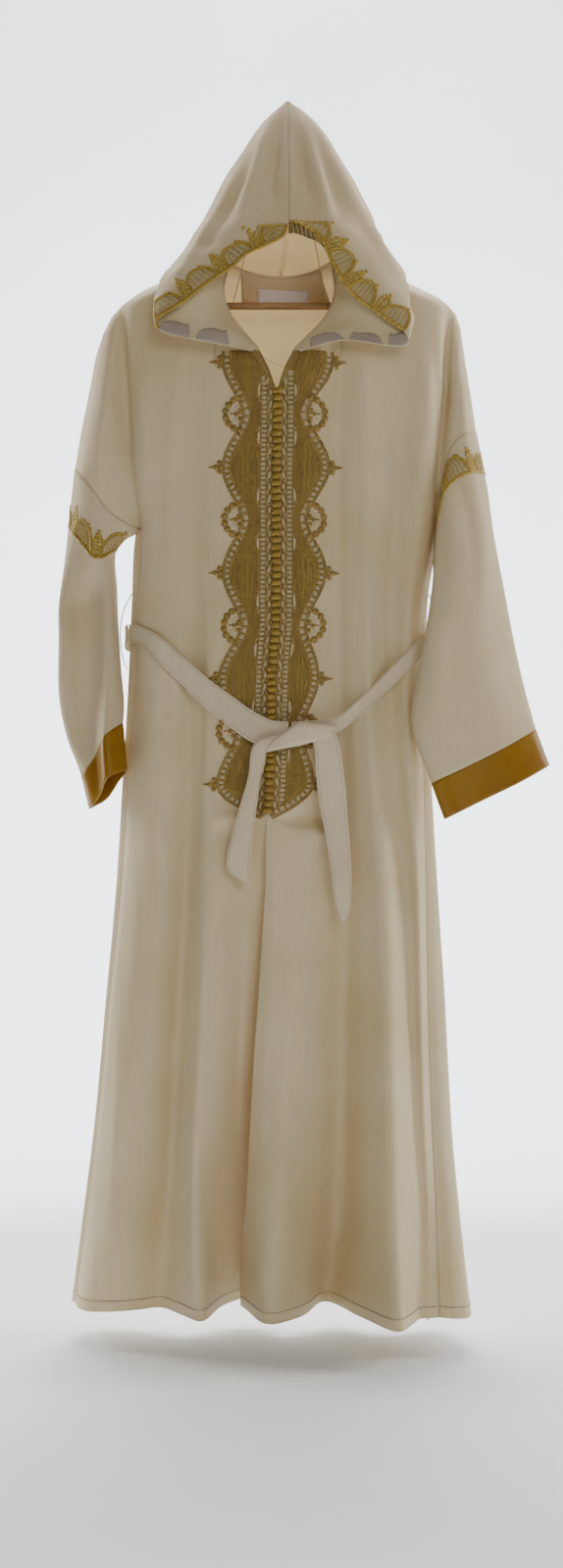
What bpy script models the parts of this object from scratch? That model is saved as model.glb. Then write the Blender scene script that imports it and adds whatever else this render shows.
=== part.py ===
"""A long hooded caftan with a cloth belt, hanging on a plain rod hanger.

Units are metres and +Z is up; the tables below are in millimetres. The front faces -Y. The origin is
the inner crown of the wire eye that the hanger hangs by. Names give the wearer's side, so the
wearer's right is at -X. Each cloth piece is a wall whose outer face is a loft through the sections
of its table, and neighbouring pieces share the points of their seam, parted by a narrow gap.
"""
import math

import bmesh
import bpy
import numpy as np

MM = 0.001
COLLECTION = "caftan"

# Cloth walls and what lies on them
WALL = 1.6
HALF_GAP = 0.17
SLEEVE_GAP = 0.3
UNDERARM_RELIEF = 5.0
LIFT = 0.35
EMBROIDERY_THICK = 1.2
TRIM_THICK = 1.0
FACING_THICK = 1.0
LABEL_THICK = 0.6
BELT_THICK = 1.8

# Heights of the body
UNDERARM = -569.0
HEM = -1631.0
EMBROIDERY_END = -961.0

# The top edge is rounded over this reach, from no depth on the shoulder line to the full depth
ROUND_REACH = 35.0

# Grid of the panels: rows and columns
UPPER_ROWS = 9
FRONT_COLUMNS = 12
BACK_COLUMNS = 19
ARM_COLUMNS = 8
SHOULDER_COLUMNS = 7
NECK_COLUMNS = 6
NECK_FRONT_COLUMNS = 5
UPPER_ROW_POWER = 1.5
# Points read along a section, and along each stretch of a curve
SECTION_STEPS = 121
CURVE_STEPS = 12

# Shoulder line seen from the front: x, z from one drop seam over both shoulders to the other
SHOULDER_RIGHT = ((-286, -485), (-278, -435), (-268, -387), (-258, -333), (-248, -302), (-236, -278),
                  (-218, -259), (-194, -243), (-171, -232), (-121, -216), (-76, -204))
SHOULDER_LEFT = ((61, -204), (119, -216), (152, -227), (198, -247), (218, -259), (232, -276),
                 (238, -294), (246, -348), (254, -398), (260, -438))
CORNER_RIGHT = (-248, -302)
CORNER_LEFT = (238, -294)

# Neckline from the side of the neck to the front corner: x, z
NECK_FRONT_RIGHT = ((-76, -204), (-82, -245), (-77, -277), (-64, -298), (-50, -316), (-36, -333))
NECK_FRONT_LEFT = ((61, -204), (66, -245), (58, -280), (44, -300), (28, -316), (12, -333))
# Neckline across the back: x, z
NECK_BACK = ((-76, -204), (-60, -210), (-34, -217), (-7, -219), (20, -217), (45, -210), (61, -204))

# Drop-shoulder seam from the underarm to the shoulder line: x, z
DROP_RIGHT = ((-196, -569), (-218, -561), (-238, -546), (-262, -515), (-286, -485))
DROP_LEFT = ((205, -569), (212, -522), (217, -480), (226, -455), (240, -443), (260, -438))

# Front opening: height, x, depth. The right edge passes behind the left one below the embroidery
CENTRE_SHARED = ((-402, -10.5, -63.5), (-433, -10.5, -63.5), (-496, -12, -64), (-569, -12, -64),
                 (-700, -12.5, -66), (-760, -17.5, -67), (-850, -19.5, -68), (-915, -21, -69),
                 (-961, -25, -69.5))
CENTRE_RIGHT = ((-333, -36, -64), (-360, -22, -64), (-383, -14, -63.5)) + CENTRE_SHARED + (
    (-975, -27, -66), (-1000, -22, -58), (-1048, -19, -50), (-1220, -28, -24), (-1382, -36, 14),
    (-1490, -42, 42), (-1631, -50, 84))
CENTRE_LEFT = ((-333, 12, -64), (-360, -2, -64), (-383, -9, -63.5)) + CENTRE_SHARED + (
    (-975, -26, -69.5), (-1048, -27, -66), (-1118, -31, -63), (-1220, -38, -58), (-1290, -43, -52),
    (-1382, -48, -44), (-1490, -54, -24), (-1550, -61, 0), (-1631, -62, 28))

# Folds of the right front: height, then (x, depth) of each line from the opening to the side seam
# height, hollow, ridge, valley, belly, fold, side
FOLDS_FRONT_RIGHT = (
    (-205, (-60, -36), (-98, -30), (-118, -28), (-156, -24), (-200, -20), (-223, -14)),
    (-270, (-66, -50), (-98, -44), (-118, -40), (-156, -36), (-202, -28), (-222, -18)),
    (-335, (-68, -60), (-99, -54), (-118, -50), (-156, -46), (-200, -40), (-219, -20)),
    (-400, (-66, -62), (-100, -57), (-118, -52), (-156, -50), (-197, -44), (-215, -16)),
    (-480, (-66, -62), (-101, -59), (-117, -53), (-156, -52), (-194, -44), (-209, -20)),
    (-525, (-66, -62), (-101, -60), (-117, -53), (-156, -52), (-190, -42), (-203, -26)),
    (-569, (-66, -62), (-101, -60), (-117, -53), (-156, -52), (-186, -38), (-196, -8)),
    (-674, (-68, -62), (-101, -60), (-119, -50), (-160, -50), (-190, -34), (-200, -14)),
    (-781, (-68, -63), (-101, -62), (-121, -47), (-162, -52), (-192, -34), (-203, -14)),
    (-915, (-66, -64), (-103, -66), (-127, -42), (-170, -54), (-202, -32), (-213, -12)),
    (-1048, (-62, -56), (-105, -70), (-131, -36), (-176, -54), (-211, -30), (-222, -8)),
    (-1220, (-62, -42), (-111, -74), (-136, -26), (-190, -50), (-228, -26), (-240, -2)),
    (-1382, (-72, -16), (-119, -74), (-144, -12), (-202, -42), (-240, -22), (-256, 8)),
    (-1490, (-76, 10), (-122, -72), (-152, 0), (-214, -30), (-250, -16), (-270, 18)),
    (-1631, (-84, 32), (-116, -62), (-166, 16), (-220, -6), (-274, -2), (-290, 46)),
)
# Folds of the left front: height, swell, slope, valley, ridge, trough, fold, side
FOLDS_FRONT_LEFT = (
    (-205, (25, -40), (45, -38), (70, -32), (104, -30), (146, -26), (200, -20), (224, -14)),
    (-270, (28, -54), (50, -50), (71, -42), (104, -42), (146, -38), (203, -28), (223, -16)),
    (-335, (28, -62), (50, -58), (71, -50), (104, -52), (146, -44), (202, -38), (218, -14)),
    (-400, (26, -64), (48, -60), (71, -52), (104, -56), (146, -46), (201, -40), (215, -10)),
    (-480, (25, -65), (48, -61), (71, -53), (104, -58), (146, -47), (194, -42), (206, -22)),
    (-525, (25, -65), (48, -61), (71, -53), (104, -59), (146, -48), (189, -42), (203, -24)),
    (-569, (25, -65), (48, -62), (71, -54), (104, -60), (146, -48), (188, -38), (205, -8)),
    (-674, (25, -66), (48, -62), (71, -52), (106, -61), (140, -47), (172, -44), (188, -12)),
    (-781, (22, -67), (46, -62), (71, -50), (106, -62), (137, -44), (168, -44), (183, -14)),
    (-915, (8, -70), (40, -64), (76, -46), (115, -66), (146, -42), (172, -46), (187, -16)),
    (-1048, (-6, -74), (34, -66), (79, -40), (126, -70), (160, -44), (178, -46), (190, -20)),
    (-1220, (-8, -78), (30, -64), (78, -26), (132, -78), (168, -46), (182, -46), (192, -24)),
    (-1382, (-14, -80), (26, -58), (76, -8), (134, -88), (176, -46), (187, -44), (197, -30)),
    (-1490, (-19, -80), (22, -50), (74, 8), (136, -96), (182, -46), (192, -43), (202, -37)),
    (-1631, (-21, -77), (18, -40), (54, 52), (142, -115), (178, -52), (192, -45), (206, -40)),
)
# Folds of the cloth over the arms, outside the armhole line: height, inner, ridge, edge
ARM_FRONT_RIGHT = (
    (-205, (-228, -14), (-236, -14), (-243, -12)),
    (-270, (-228, -20), (-236, -22), (-246, -20)),
    (-335, (-228, -26), (-240, -30), (-258, -22)),
    (-400, (-226, -24), (-244, -36), (-270, -24)),
    (-480, (-221, -24), (-250, -36), (-285, -22)),
    (-569, (-212, -26), (-250, -32), (-290, -20)),
)
ARM_FRONT_LEFT = (
    (-205, (230, -14), (236, -14), (242, -12)),
    (-270, (229, -18), (236, -18), (244, -16)),
    (-335, (226, -22), (236, -28), (246, -20)),
    (-400, (224, -22), (238, -32), (255, -22)),
    (-480, (219, -26), (240, -34), (262, -22)),
    (-569, (218, -26), (242, -32), (270, -20)),
)
# Folds of the back, from the right side seam round to the left one: height, then (x, depth) of
# side_r, edge_r, ridge_1, valley_1, ridge_2, centre, ridge_3, valley_2, ridge_4, edge_l, flap, side_l
FOLDS_BACK = (
    (-205, (-223, 10), (-206, 16), (-160, 20), (-120, 20), (-70, 24), (-7, 24), (58, 24),
     (110, 20), (160, 20), (204, 16), (214, 13), (224, 10)),
    (-270, (-222, 14), (-204, 22), (-160, 30), (-118, 30), (-66, 34), (-6, 34), (60, 34),
     (112, 30), (160, 30), (204, 22), (214, 17), (223, 12)),
    (-335, (-219, 16), (-200, 28), (-160, 40), (-116, 36), (-62, 44), (-4, 40), (62, 44),
     (114, 36), (160, 40), (200, 28), (210, 18), (218, 12)),
    (-400, (-215, 12), (-197, 32), (-158, 46), (-114, 40), (-60, 50), (-2, 44), (64, 50),
     (116, 40), (158, 46), (198, 31), (208, 18), (215, 8)),
    (-480, (-209, 14), (-195, 36), (-156, 50), (-112, 42), (-58, 54), (0, 46), (66, 54),
     (116, 42), (156, 50), (190, 36), (200, 26), (206, 15)),
    (-525, (-203, 12), (-196, 32), (-158, 50), (-112, 42), (-58, 55), (0, 47), (66, 55),
     (116, 42), (158, 50), (188, 34), (197, 24), (203, 10)),
    (-569, (-196, -8), (-203, 14), (-160, 50), (-112, 42), (-58, 56), (0, 48), (66, 56),
     (116, 42), (160, 50), (198, 24), (203, 8), (205, -8)),
    (-674, (-200, -14), (-208, 6), (-160, 50), (-112, 42), (-58, 58), (0, 48), (66, 58),
     (112, 42), (156, 50), (190, 16), (193, 2), (188, -12)),
    (-781, (-203, -14), (-213, 6), (-162, 54), (-112, 42), (-58, 62), (0, 48), (62, 62),
     (110, 42), (156, 54), (188, 14), (192, -2), (183, -14)),
    (-915, (-213, -12), (-220, 8), (-168, 60), (-114, 42), (-58, 68), (0, 48), (62, 68),
     (112, 42), (160, 60), (195, 14), (198, -4), (187, -16)),
    (-1048, (-222, -8), (-228, 12), (-176, 68), (-116, 42), (-58, 76), (0, 48), (62, 76),
     (116, 44), (164, 68), (203, 14), (205, -6), (190, -20)),
    (-1220, (-240, -2), (-243, 18), (-188, 80), (-122, 44), (-60, 88), (0, 50), (62, 88),
     (120, 48), (172, 80), (215, 16), (214, -12), (192, -24)),
    (-1382, (-256, 8), (-258, 28), (-200, 94), (-128, 48), (-62, 104), (2, 54), (64, 104),
     (124, 54), (182, 92), (224, 12), (220, -22), (197, -30)),
    (-1490, (-270, 18), (-272, 38), (-212, 104), (-132, 54), (-62, 116), (4, 58), (66, 116),
     (128, 60), (192, 100), (234, 8), (228, -32), (202, -36)),
    (-1631, (-290, 46), (-292, 66), (-230, 118), (-140, 66), (-64, 136), (6, 70), (68, 136),
     (134, 74), (206, 112), (250, -6), (238, -48), (206, -40)),
)
ARM_BACK_RIGHT = (
    (-205, (-228, 12), (-236, 14), (-243, 12)),
    (-270, (-228, 18), (-236, 22), (-246, 20)),
    (-335, (-228, 22), (-240, 30), (-258, 22)),
    (-400, (-226, 22), (-244, 36), (-270, 24)),
    (-480, (-221, 20), (-250, 36), (-285, 22)),
    (-569, (-212, 14), (-250, 30), (-290, 20)),
)
ARM_BACK_LEFT = (
    (-205, (230, 12), (236, 14), (242, 12)),
    (-270, (229, 16), (236, 18), (244, 16)),
    (-335, (226, 18), (236, 28), (246, 20)),
    (-400, (224, 18), (238, 32), (255, 22)),
    (-480, (219, 18), (240, 34), (262, 22)),
    (-569, (218, 12), (242, 30), (270, 20)),
)
SHOULDER_STOPS_RIGHT = (-223, -208, -190, -160, -130, -100, -76)
SHOULDER_STOPS_LEFT = (224, 210, 190, 150, 115, 85, 61)

# Sleeve rings below the drop seam: (x, depth, z) of eight lines round the tube, which are
# inner, front_ridge, front_hollow, front_roll, outer, back_outer, back_middle, back_inner
SLEEVE_RIGHT = (
    ((-230, -4, -596), (-241, -28, -606), (-257, -34, -610), (-280, -22, -584), (-294, 0, -565),
     (-284, 18, -574), (-262, 24, -590), (-240, 14, -596)),
    ((-229, -2, -655), (-238, -30, -658), (-268, -8, -664), (-299, -18, -664), (-305, 0, -660),
     (-292, 26, -658), (-262, 34, -656), (-238, 22, -655)),
    ((-227, -2, -712), (-237, -34, -714), (-264, -6, -716), (-299, -18, -716), (-307, 0, -714),
     (-292, 30, -714), (-260, 38, -713), (-235, 26, -712)),
    ((-223, -10, -762), (-236, -42, -766), (-266, -8, -776), (-301, -14, -786), (-307, 2, -788),
     (-293, 32, -784), (-260, 36, -774), (-234, 16, -766)),
    ((-219, -20, -800), (-237, -50, -806), (-264, -16, -828), (-290, -16, -848), (-296, 0, -850),
     (-285, 30, -842), (-254, 28, -822), (-229, 4, -808)),
)
CUFF_RIGHT = (
    ((-219, -34, -834), (-241, -58, -850), (-254, -30, -874), (-270, -24, -896), (-277, -2, -902),
     (-270, 24, -895), (-252, 16, -874), (-231, -12, -850)),
    ((-213, -42, -896), (-237, -62, -906), (-248, -36, -926), (-259, -26, -942), (-266, -4, -948),
     (-260, 20, -944), (-243, 10, -934), (-225, -18, -910)),
)
SLEEVE_LEFT = (
    ((203, -24, -640), (203, -44, -575), (217, -45, -518), (246, -34, -497), (270, -4, -494),
     (264, 20, -500), (244, 24, -535), (221, 4, -600)),
    ((192, -46, -705), (195, -62, -665), (226, -60, -632), (262, -46, -603), (284, -12, -589),
     (274, 10, -600), (244, 2, -640), (212, -24, -685)),
    ((176, -58, -768), (190, -75, -758), (222, -68, -738), (266, -50, -715), (304, -14, -698),
     (286, 8, -706), (240, -6, -738), (196, -36, -764)),
    ((169, -60, -836), (185, -77, -828), (222, -68, -812), (278, -50, -798), (323, -14, -786),
     (300, 6, -794), (240, -12, -812), (190, -40, -832)),
)
CUFF_LEFT = (
    ((196, -52, -914), (211, -67, -906), (246, -60, -890), (298, -44, -864), (338, -16, -841),
     (314, 2, -852), (262, -12, -880), (214, -34, -906)),
    ((213, -52, -961), (228, -67, -953), (263, -60, -936), (316, -44, -911), (356, -16, -889),
     (332, 2, -900), (280, -12, -927), (231, -34, -952)),
)

# Hood halves, rows from the peak to the front corner of the neck. Each row runs from the free or
# seamed front edge round the side to the back: (x, depth, z) of edge, fold, turn and back, then
# either the end point on the centre-back seam or a share of the neckline, where 0 is the middle of
# the back, 1 the side of the neck and 2 the front corner
HOOD_RIGHT = (
    ((3, -9, 8), (3, -5, 13), (3, 0, 15), (3, 5, 13), (3, 9, 8)),
    ((3, -24, -12), (-16, -16, -10), (-28, 0, -13), (-16, 16, -10), (3, 24, -12)),
    ((3, -42, -46), (-32, -32, -44), (-52, -2, -45), (-30, 24, -44), (2, 34, -46)),
    ((4, -66, -96), (-50, -52, -97), (-84, -6, -98), (-48, 30, -96), (1, 42, -98)),
    ((4, -82, -140), (-64, -68, -148), (-110, -10, -150), (-62, 34, -150), (0, 44, -150)),
    ((3, -91, -170), (-74, -78, -174), (-124, -12, -170), (-68, 36, -172), (-2, 42, -186)),
    ((-1, -92, -190), (-80, -79, -187), (-131, -13, -182), (-74, 36, -182), (-4, 32, -204)),
    ((-23, -92, -203), (-86, -79, -198), (-138, -14, -193), (-80, 34, -192), 0.0),
    ((-51, -90, -215), (-100, -79, -210), (-146, -16, -205), (-98, 28, -196), 0.4),
    ((-72, -88, -233), (-114, -77, -224), (-156, -18, -217), (-108, 16, -192), 0.8),
    ((-103, -86, -253), (-134, -76, -240), (-166, -28, -230), (-110, -16, -190), 1.06),
    ((-132, -82, -275), (-154, -72, -262), (-172, -44, -250), (-112, -60, -224), 1.3),
    ((-170, -76, -300), (-174, -70, -290), (-173, -62, -280), (-118, -70, -258), 1.5),
    ((-160, -78, -317), (-155, -76, -310), (-146, -73, -302), (-112, -72, -290), 1.66),
    ((-119, -80, -326), (-113, -79, -322), (-105, -77, -317), (-84, -72, -306), 1.8),
    ((-76, -79, -334), (-73, -78, -332), (-69, -77, -329), (-60, -73, -322), 1.92),
    ((-45, -75, -340), (-44, -74, -339), (-43, -73, -338), (-40, -70, -336), 2.0),
)
HOOD_LEFT = (
    ((3, -9, 8), (3, -5, 13), (3, 0, 15), (3, 5, 13), (3, 9, 8)),
    ((3, -24, -12), (24, -16, -8), (39, 0, -13), (24, 16, -10), (3, 24, -12)),
    ((3, -42, -46), (38, -36, -44), (63, -2, -45), (34, 24, -44), (2, 34, -46)),
    ((4, -66, -96), (56, -58, -97), (92, -6, -98), (52, 30, -96), (1, 42, -98)),
    ((4, -82, -140), (76, -70, -148), (116, -10, -144), (66, 34, -150), (0, 44, -150)),
    ((3, -91, -170), (76, -80, -170), (122, -10, -164), (70, 36, -172), (-2, 42, -186)),
    ((10, -93, -172), (82, -82, -178), (129, -11, -172), (77, 35, -180), (-4, 32, -204)),
    ((20, -94, -176), (88, -82, -184), (134, -12, -181), (84, 34, -188), 0.0),
    ((44, -92, -192), (100, -82, -200), (145, -14, -198), (96, 28, -194), 0.4),
    ((58, -90, -220), (110, -80, -218), (154, -16, -212), (100, 16, -192), 0.8),
    ((73, -88, -247), (122, -77, -238), (162, -26, -227), (100, -16, -190), 1.06),
    ((92, -85, -271), (137, -74, -258), (167, -42, -246), (100, -60, -222), 1.3),
    ((126, -80, -294), (152, -73, -280), (168, -58, -267), (104, -72, -252), 1.5),
    ((164, -76, -323), (168, -73, -312), (167, -68, -302), (112, -71, -288), 1.64),
    ((148, -79, -337), (142, -78, -330), (132, -76, -322), (94, -72, -305), 1.76),
    ((96, -82, -326), (91, -81, -324), (84, -79, -321), (66, -75, -314), 1.87),
    ((46, -79, -331), (43, -78, -330), (39, -77, -329), (31, -73, -325), 1.95),
    ((20, -75, -340), (19, -74, -339), (18, -73, -338), (16, -70, -336), 2.0),
)
HOOD_COLUMNS = 10
HOOD_TRIM_WIDTH = 28.0
HOOD_TRIM_ROWS = (6, 18)
HOOD_TRIM_LIFT = 0.5
# The hood's lower edge lies this far outside the neckline, at its corners and between them
NECK_SEAM_OFFSET = 0.7
NECK_BETWEEN_OFFSET = 1.6

# Embroidery beside the opening: half widths at the points and at the waists, and their spacing
EMBROIDERY_POINT = {"right": (73.0, 70.0), "left": (74.0, 58.0)}
EMBROIDERY_WAIST = {"right": 46.0, "left": 40.0}
EMBROIDERY_PITCH = 141.0
EMBROIDERY_TOP_POINT = -351.0
EMBROIDERY_LAST_POINT = -915.0
EMBROIDERY_INNER = 7.0
EMBROIDERY_CLOSE = 1.2

# Buttons: a column of small knots, each a swelling of one cord
BUTTON_TOP = -386.0
BUTTON_BOTTOM = -955.0
BUTTON_COUNT = 50
BUTTON_HALF_WIDTH = 5.2
BUTTON_HEIGHT = 5.6
BUTTON_NECK = 0.62
BUTTON_SIDES = 4

# Belt strips: (x, depth, upper edge, lower edge) at each station
BELT_RIGHT_STATIONS = ((-212, -14, -698, -722), (-196, -32, -702, -726), (-170, -54.4, -716, -750),
                       (-141, -57.5, -741, -779), (-103, -65.2, -774, -816), (-70, -68.8, -798, -842),
                       (-42, -75, -818, -860), (-18, -79, -830, -866), (4, -79.5, -832, -860))
BELT_LEFT_STATIONS = ((8, -79.5, -832, -858), (40, -78, -830, -854), (62, -75.5, -828, -850),
                      (101, -67, -798, -822), (143, -54, -757, -784), (172, -48, -728, -756),
                      (188, -28, -714, -738), (196, -16, -708, -730))
BELT_BACK_STATIONS = ((-215, -9, -698, -722), (-219, 8, -700, -730), (-200, 38, -703, -736),
                      (-160, 53, -706, -741), (-110, 58, -709, -744), (-50, 60.4, -711, -746),
                      (10, 60.4, -712, -747), (70, 60.4, -712, -747), (120, 58, -711, -746),
                      (165, 52, -710, -742), (190, 36, -708, -736), (202, 8, -706, -728),
                      (199, -11, -708, -728))
# Belt tails: (z, x at its left edge, x at its right edge, depth)
TAIL_RIGHT_STATIONS = ((-838, -26, -4, -82), (-866, -36, -12, -83), (-895, -46, -22, -83),
                       (-942, -60, -34, -82), (-999, -75, -44, -80), (-1027, -77, -47, -79),
                       (-1046, -58, -48, -78))
TAIL_LEFT_STATIONS = ((-838, 28, 58, -82.8), (-866, 38, 69, -82.6), (-928, 43, 80, -80),
                      (-999, 56, 87, -79), (-1060, 66, 88, -79), (-1096, 75, 82, -79))
# Belt knot: a soft lump with a flat back
KNOT_CENTRE = (16.0, -86.0, -846.0)
KNOT_HALF = (31.0, 10.0, 14.0)
KNOT_TILT = 14.0
KNOT_BACK = -83.3
# Belt loops: (x, z) along the loop, at one depth
LOOP_RIGHT_LINE = ((-209, -656), (-218, -674), (-224, -700), (-224, -724), (-221, -744), (-215, -760))
LOOP_LEFT_LINE = ((195, -656), (202, -674), (208, -700), (208, -724), (201, -744), (192, -760))
LOOP_DEPTH = -8.0
LOOP_HALF_WIDTH = 4.0

# Neck facing and label
FACING_ROWS = 4
LABEL_SIZE = (70.0, 22.0)
LABEL_CENTRE = (-3.0, -248.0)
LABEL_TILT = -2.5
LABEL_LIFT = 4.7

# Hanger: a wooden rod inside the shoulders and a thin steel wire with an eye at the peak
ROD_RADIUS = 5.0
ROD_HALF_LENGTH = 210.0
ROD_CENTRE = (0.0, -264.1)
LINE_RADIUS = 0.8
EYE_RADIUS = 6.0
BAIL_FEET = (-71.0, 56.0)

COLOURS = {
    "cloth": ((0.79, 0.71, 0.56), 0.55, 0.0),
    "inside": ((0.72, 0.64, 0.50), 0.60, 0.0),
    "gold": ((0.30, 0.20, 0.04), 0.45, 0.1),
    "button": ((0.42, 0.26, 0.03), 0.40, 0.1),
    "satin": ((0.36, 0.21, 0.02), 0.35, 0.0),
    "label": ((0.66, 0.62, 0.66), 0.60, 0.0),
    "wood": ((0.23, 0.14, 0.06), 0.50, 0.0),
    "wire": ((0.62, 0.62, 0.60), 0.35, 1.0),
}


def clear_scene():
    for thing in list(bpy.data.objects):
        bpy.data.objects.remove(thing, do_unlink=True)


def through(keys, values, at):
    """Smooth curve through the values at rising keys, read at the given positions."""
    keys = np.asarray(keys, float)
    values = np.asarray(values, float)
    at = np.atleast_1d(np.asarray(at, float))
    slopes = np.gradient(values, keys, axis=0)
    left = np.clip(np.searchsorted(keys, at, side="right") - 1, 0, len(keys) - 2)
    span = keys[left + 1] - keys[left]
    share = (at - keys[left]) / span
    shape = (-1,) + (1,) * (values.ndim - 1)
    s = share.reshape(shape)
    h = span.reshape(shape)
    a = (2 * s ** 3 - 3 * s ** 2 + 1) * values[left]
    b = (s ** 3 - 2 * s ** 2 + s) * h * slopes[left]
    c = (3 * s ** 2 - 2 * s ** 3) * values[left + 1]
    d = (s ** 3 - s ** 2) * h * slopes[left + 1]
    return a + b + c + d


def along(points, shares):
    """Points at shares of the length of a smooth curve through the given points."""
    points = np.asarray(points, float)
    steps = np.linalg.norm(np.diff(points, axis=0), axis=1)
    keys = np.concatenate([[0.0], np.cumsum(np.maximum(steps, 1e-6))])
    fine = through(keys, points, np.linspace(0, keys[-1], CURVE_STEPS * len(points)))
    lengths = np.concatenate([[0.0], np.cumsum(np.linalg.norm(np.diff(fine, axis=0), axis=1))])
    wanted = np.asarray(shares, float) * lengths[-1]
    return np.column_stack([np.interp(wanted, lengths, fine[:, k]) for k in range(points.shape[1])])


def table_at(table, z):
    """The (x, depth) of each line of a fold table at one height."""
    rows = sorted(table, key=lambda row: row[0])
    keys = [row[0] for row in rows]
    values = [row[1:] for row in rows]
    return through(keys, values, z)[0]


def centre_at(table, z):
    rows = sorted(table)
    keys = [row[0] for row in rows]
    return np.array([np.interp(z, keys, [row[1] for row in rows]),
                     np.interp(z, keys, [row[2] for row in rows])])


def shoulder_distance(x, z):
    """Distance in the front view from a point to the shoulder line."""
    line = np.array(SHOULDER_RIGHT + SHOULDER_LEFT, float)
    start = line[:-1]
    reach = line[1:] - start
    offset = np.array([x, z]) - start
    share = np.clip((offset * reach).sum(1) / (reach ** 2).sum(1), 0, 1)
    return np.linalg.norm(offset - share[:, None] * reach, axis=1).min()


def rounding(x, z):
    share = min(shoulder_distance(x, z) / ROUND_REACH, 1.0)
    return math.sqrt(1 - (1 - share) ** 2)


def section_line(points, count=SECTION_STEPS):
    points = np.asarray(points, float)
    return through(np.arange(len(points)), points, np.linspace(0, len(points) - 1, count))


def depth_at(points, x):
    line = section_line(points)
    order = np.argsort(line[:, 0])
    return float(np.interp(x, line[order, 0], line[order, 1]))


SIDES = {
    "right": {"sign": -1, "centre": CENTRE_RIGHT, "folds": FOLDS_FRONT_RIGHT,
              "arm_front": ARM_FRONT_RIGHT, "arm_back": ARM_BACK_RIGHT,
              "shoulder": SHOULDER_RIGHT[::-1], "corner": CORNER_RIGHT, "drop": DROP_RIGHT,
              "neck": NECK_FRONT_RIGHT, "stops": SHOULDER_STOPS_RIGHT},
    "left": {"sign": 1, "centre": CENTRE_LEFT, "folds": FOLDS_FRONT_LEFT,
             "arm_front": ARM_FRONT_LEFT, "arm_back": ARM_BACK_LEFT,
             "shoulder": SHOULDER_LEFT, "corner": CORNER_LEFT, "drop": DROP_LEFT,
             "neck": NECK_FRONT_LEFT, "stops": SHOULDER_STOPS_LEFT},
}


def front_section(side, z):
    cut = SIDES[side]
    points = [centre_at(cut["centre"], z)] + list(table_at(cut["folds"], z))
    return np.array(points)


def front_depth(side, x, z):
    """Depth of a front above the underarm, where the cloth of the arm carries it on outwards."""
    points = np.vstack([front_section(side, z), table_at(SIDES[side]["arm_front"], z)])
    return depth_at(points, x) * rounding(x, z)


def back_depth(x, z):
    points = np.vstack([table_at(ARM_BACK_RIGHT, z)[::-1], table_at(FOLDS_BACK, z),
                        table_at(ARM_BACK_LEFT, z)])
    return depth_at(points, x) * rounding(x, z)


def embroidery_width(side, z):
    """Half width of the embroidery: rounded scallops with pointed waists, closed at the bottom."""
    share = np.clip((EMBROIDERY_TOP_POINT - z) / (EMBROIDERY_TOP_POINT - EMBROIDERY_LAST_POINT), 0, 1)
    first, last = EMBROIDERY_POINT[side]
    point = first + (last - first) * share
    waist = EMBROIDERY_WAIST[side]
    below = max(EMBROIDERY_TOP_POINT - z, 0.0)
    wave = 0.5 + 0.5 * math.cos(2 * math.pi * below / EMBROIDERY_PITCH)
    if z >= EMBROIDERY_LAST_POINT:
        return waist + (point - waist) * wave ** 0.8
    left = (EMBROIDERY_LAST_POINT - z) / (EMBROIDERY_LAST_POINT - EMBROIDERY_END + 4)
    return point * max(1 - left ** 2, 0.0) ** EMBROIDERY_CLOSE


def lower_rows():
    upper = np.linspace(UNDERARM, EMBROIDERY_LAST_POINT, 13)
    close = [-932.0, -948.0, EMBROIDERY_END]
    skirt = [-975.0, -1000.0, -1048.0, -1120.0, -1210.0, -1300.0, -1390.0, -1475.0, -1555.0, HEM]
    return np.concatenate([upper, close, skirt])


def front_columns(side, z):
    """The (x, depth) of the twelve columns of a front at one height at or below the underarm."""
    points = front_section(side, z)
    line = section_line(points)
    steps = np.linspace(0, len(points) - 1, len(line))
    sign = SIDES[side]["sign"]
    outward = sign * (line[:, 0] - line[0, 0])
    if z > EMBROIDERY_END - 1:
        wide = embroidery_width(side, z)
    else:
        wide = sign * (points[1 if side == "right" else 2][0] - line[0, 0])
    inner = min(EMBROIDERY_INNER, 0.55 * wide)
    near = [0.0, inner, 0.5 * (inner + wide), wide]
    at = [float(np.interp(w, outward, steps)) for w in near]
    last = len(points) - 1
    rest_start = 2.0 if side == "right" else 3.0
    rest = np.linspace(rest_start, last, 8)
    at += [max(rest[0] * 0.6 + at[3] * 0.4, at[3] + 0.1)] if at[3] > rest[0] - 0.3 else [rest[0]]
    at += list(rest[1:])
    values = through(np.arange(len(points)), points, at)
    return values


def upper_shares():
    return (np.arange(UPPER_ROWS + 1) / UPPER_ROWS) ** UPPER_ROW_POWER


def top_line(side, stops, neck_count, corner_count):
    """Top ends of a front's columns: along the neckline, the shoulder and round to the corner."""
    cut = SIDES[side]
    neck = along(cut["neck"], np.linspace(1, 0, neck_count + 1))
    shoulder = np.array(cut["shoulder"], float)
    order = np.argsort(shoulder[:, 0] * cut["sign"])
    line = shoulder[order]
    heights = np.interp(np.array(stops) * cut["sign"], line[:, 0] * cut["sign"], line[:, 1])
    # The line turns down past the corner, so only the part above it can be read by x
    tops = np.column_stack([stops, heights])[::-1]
    start = tops[-1]
    bend = [start] + [p for p in shoulder if p[0] * cut["sign"] > start[0] * cut["sign"] + 1
                      and p[1] >= cut["corner"][1]]
    arm = polyline(bend, np.linspace(0, 1, corner_count + 1))
    return neck, tops, arm


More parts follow.
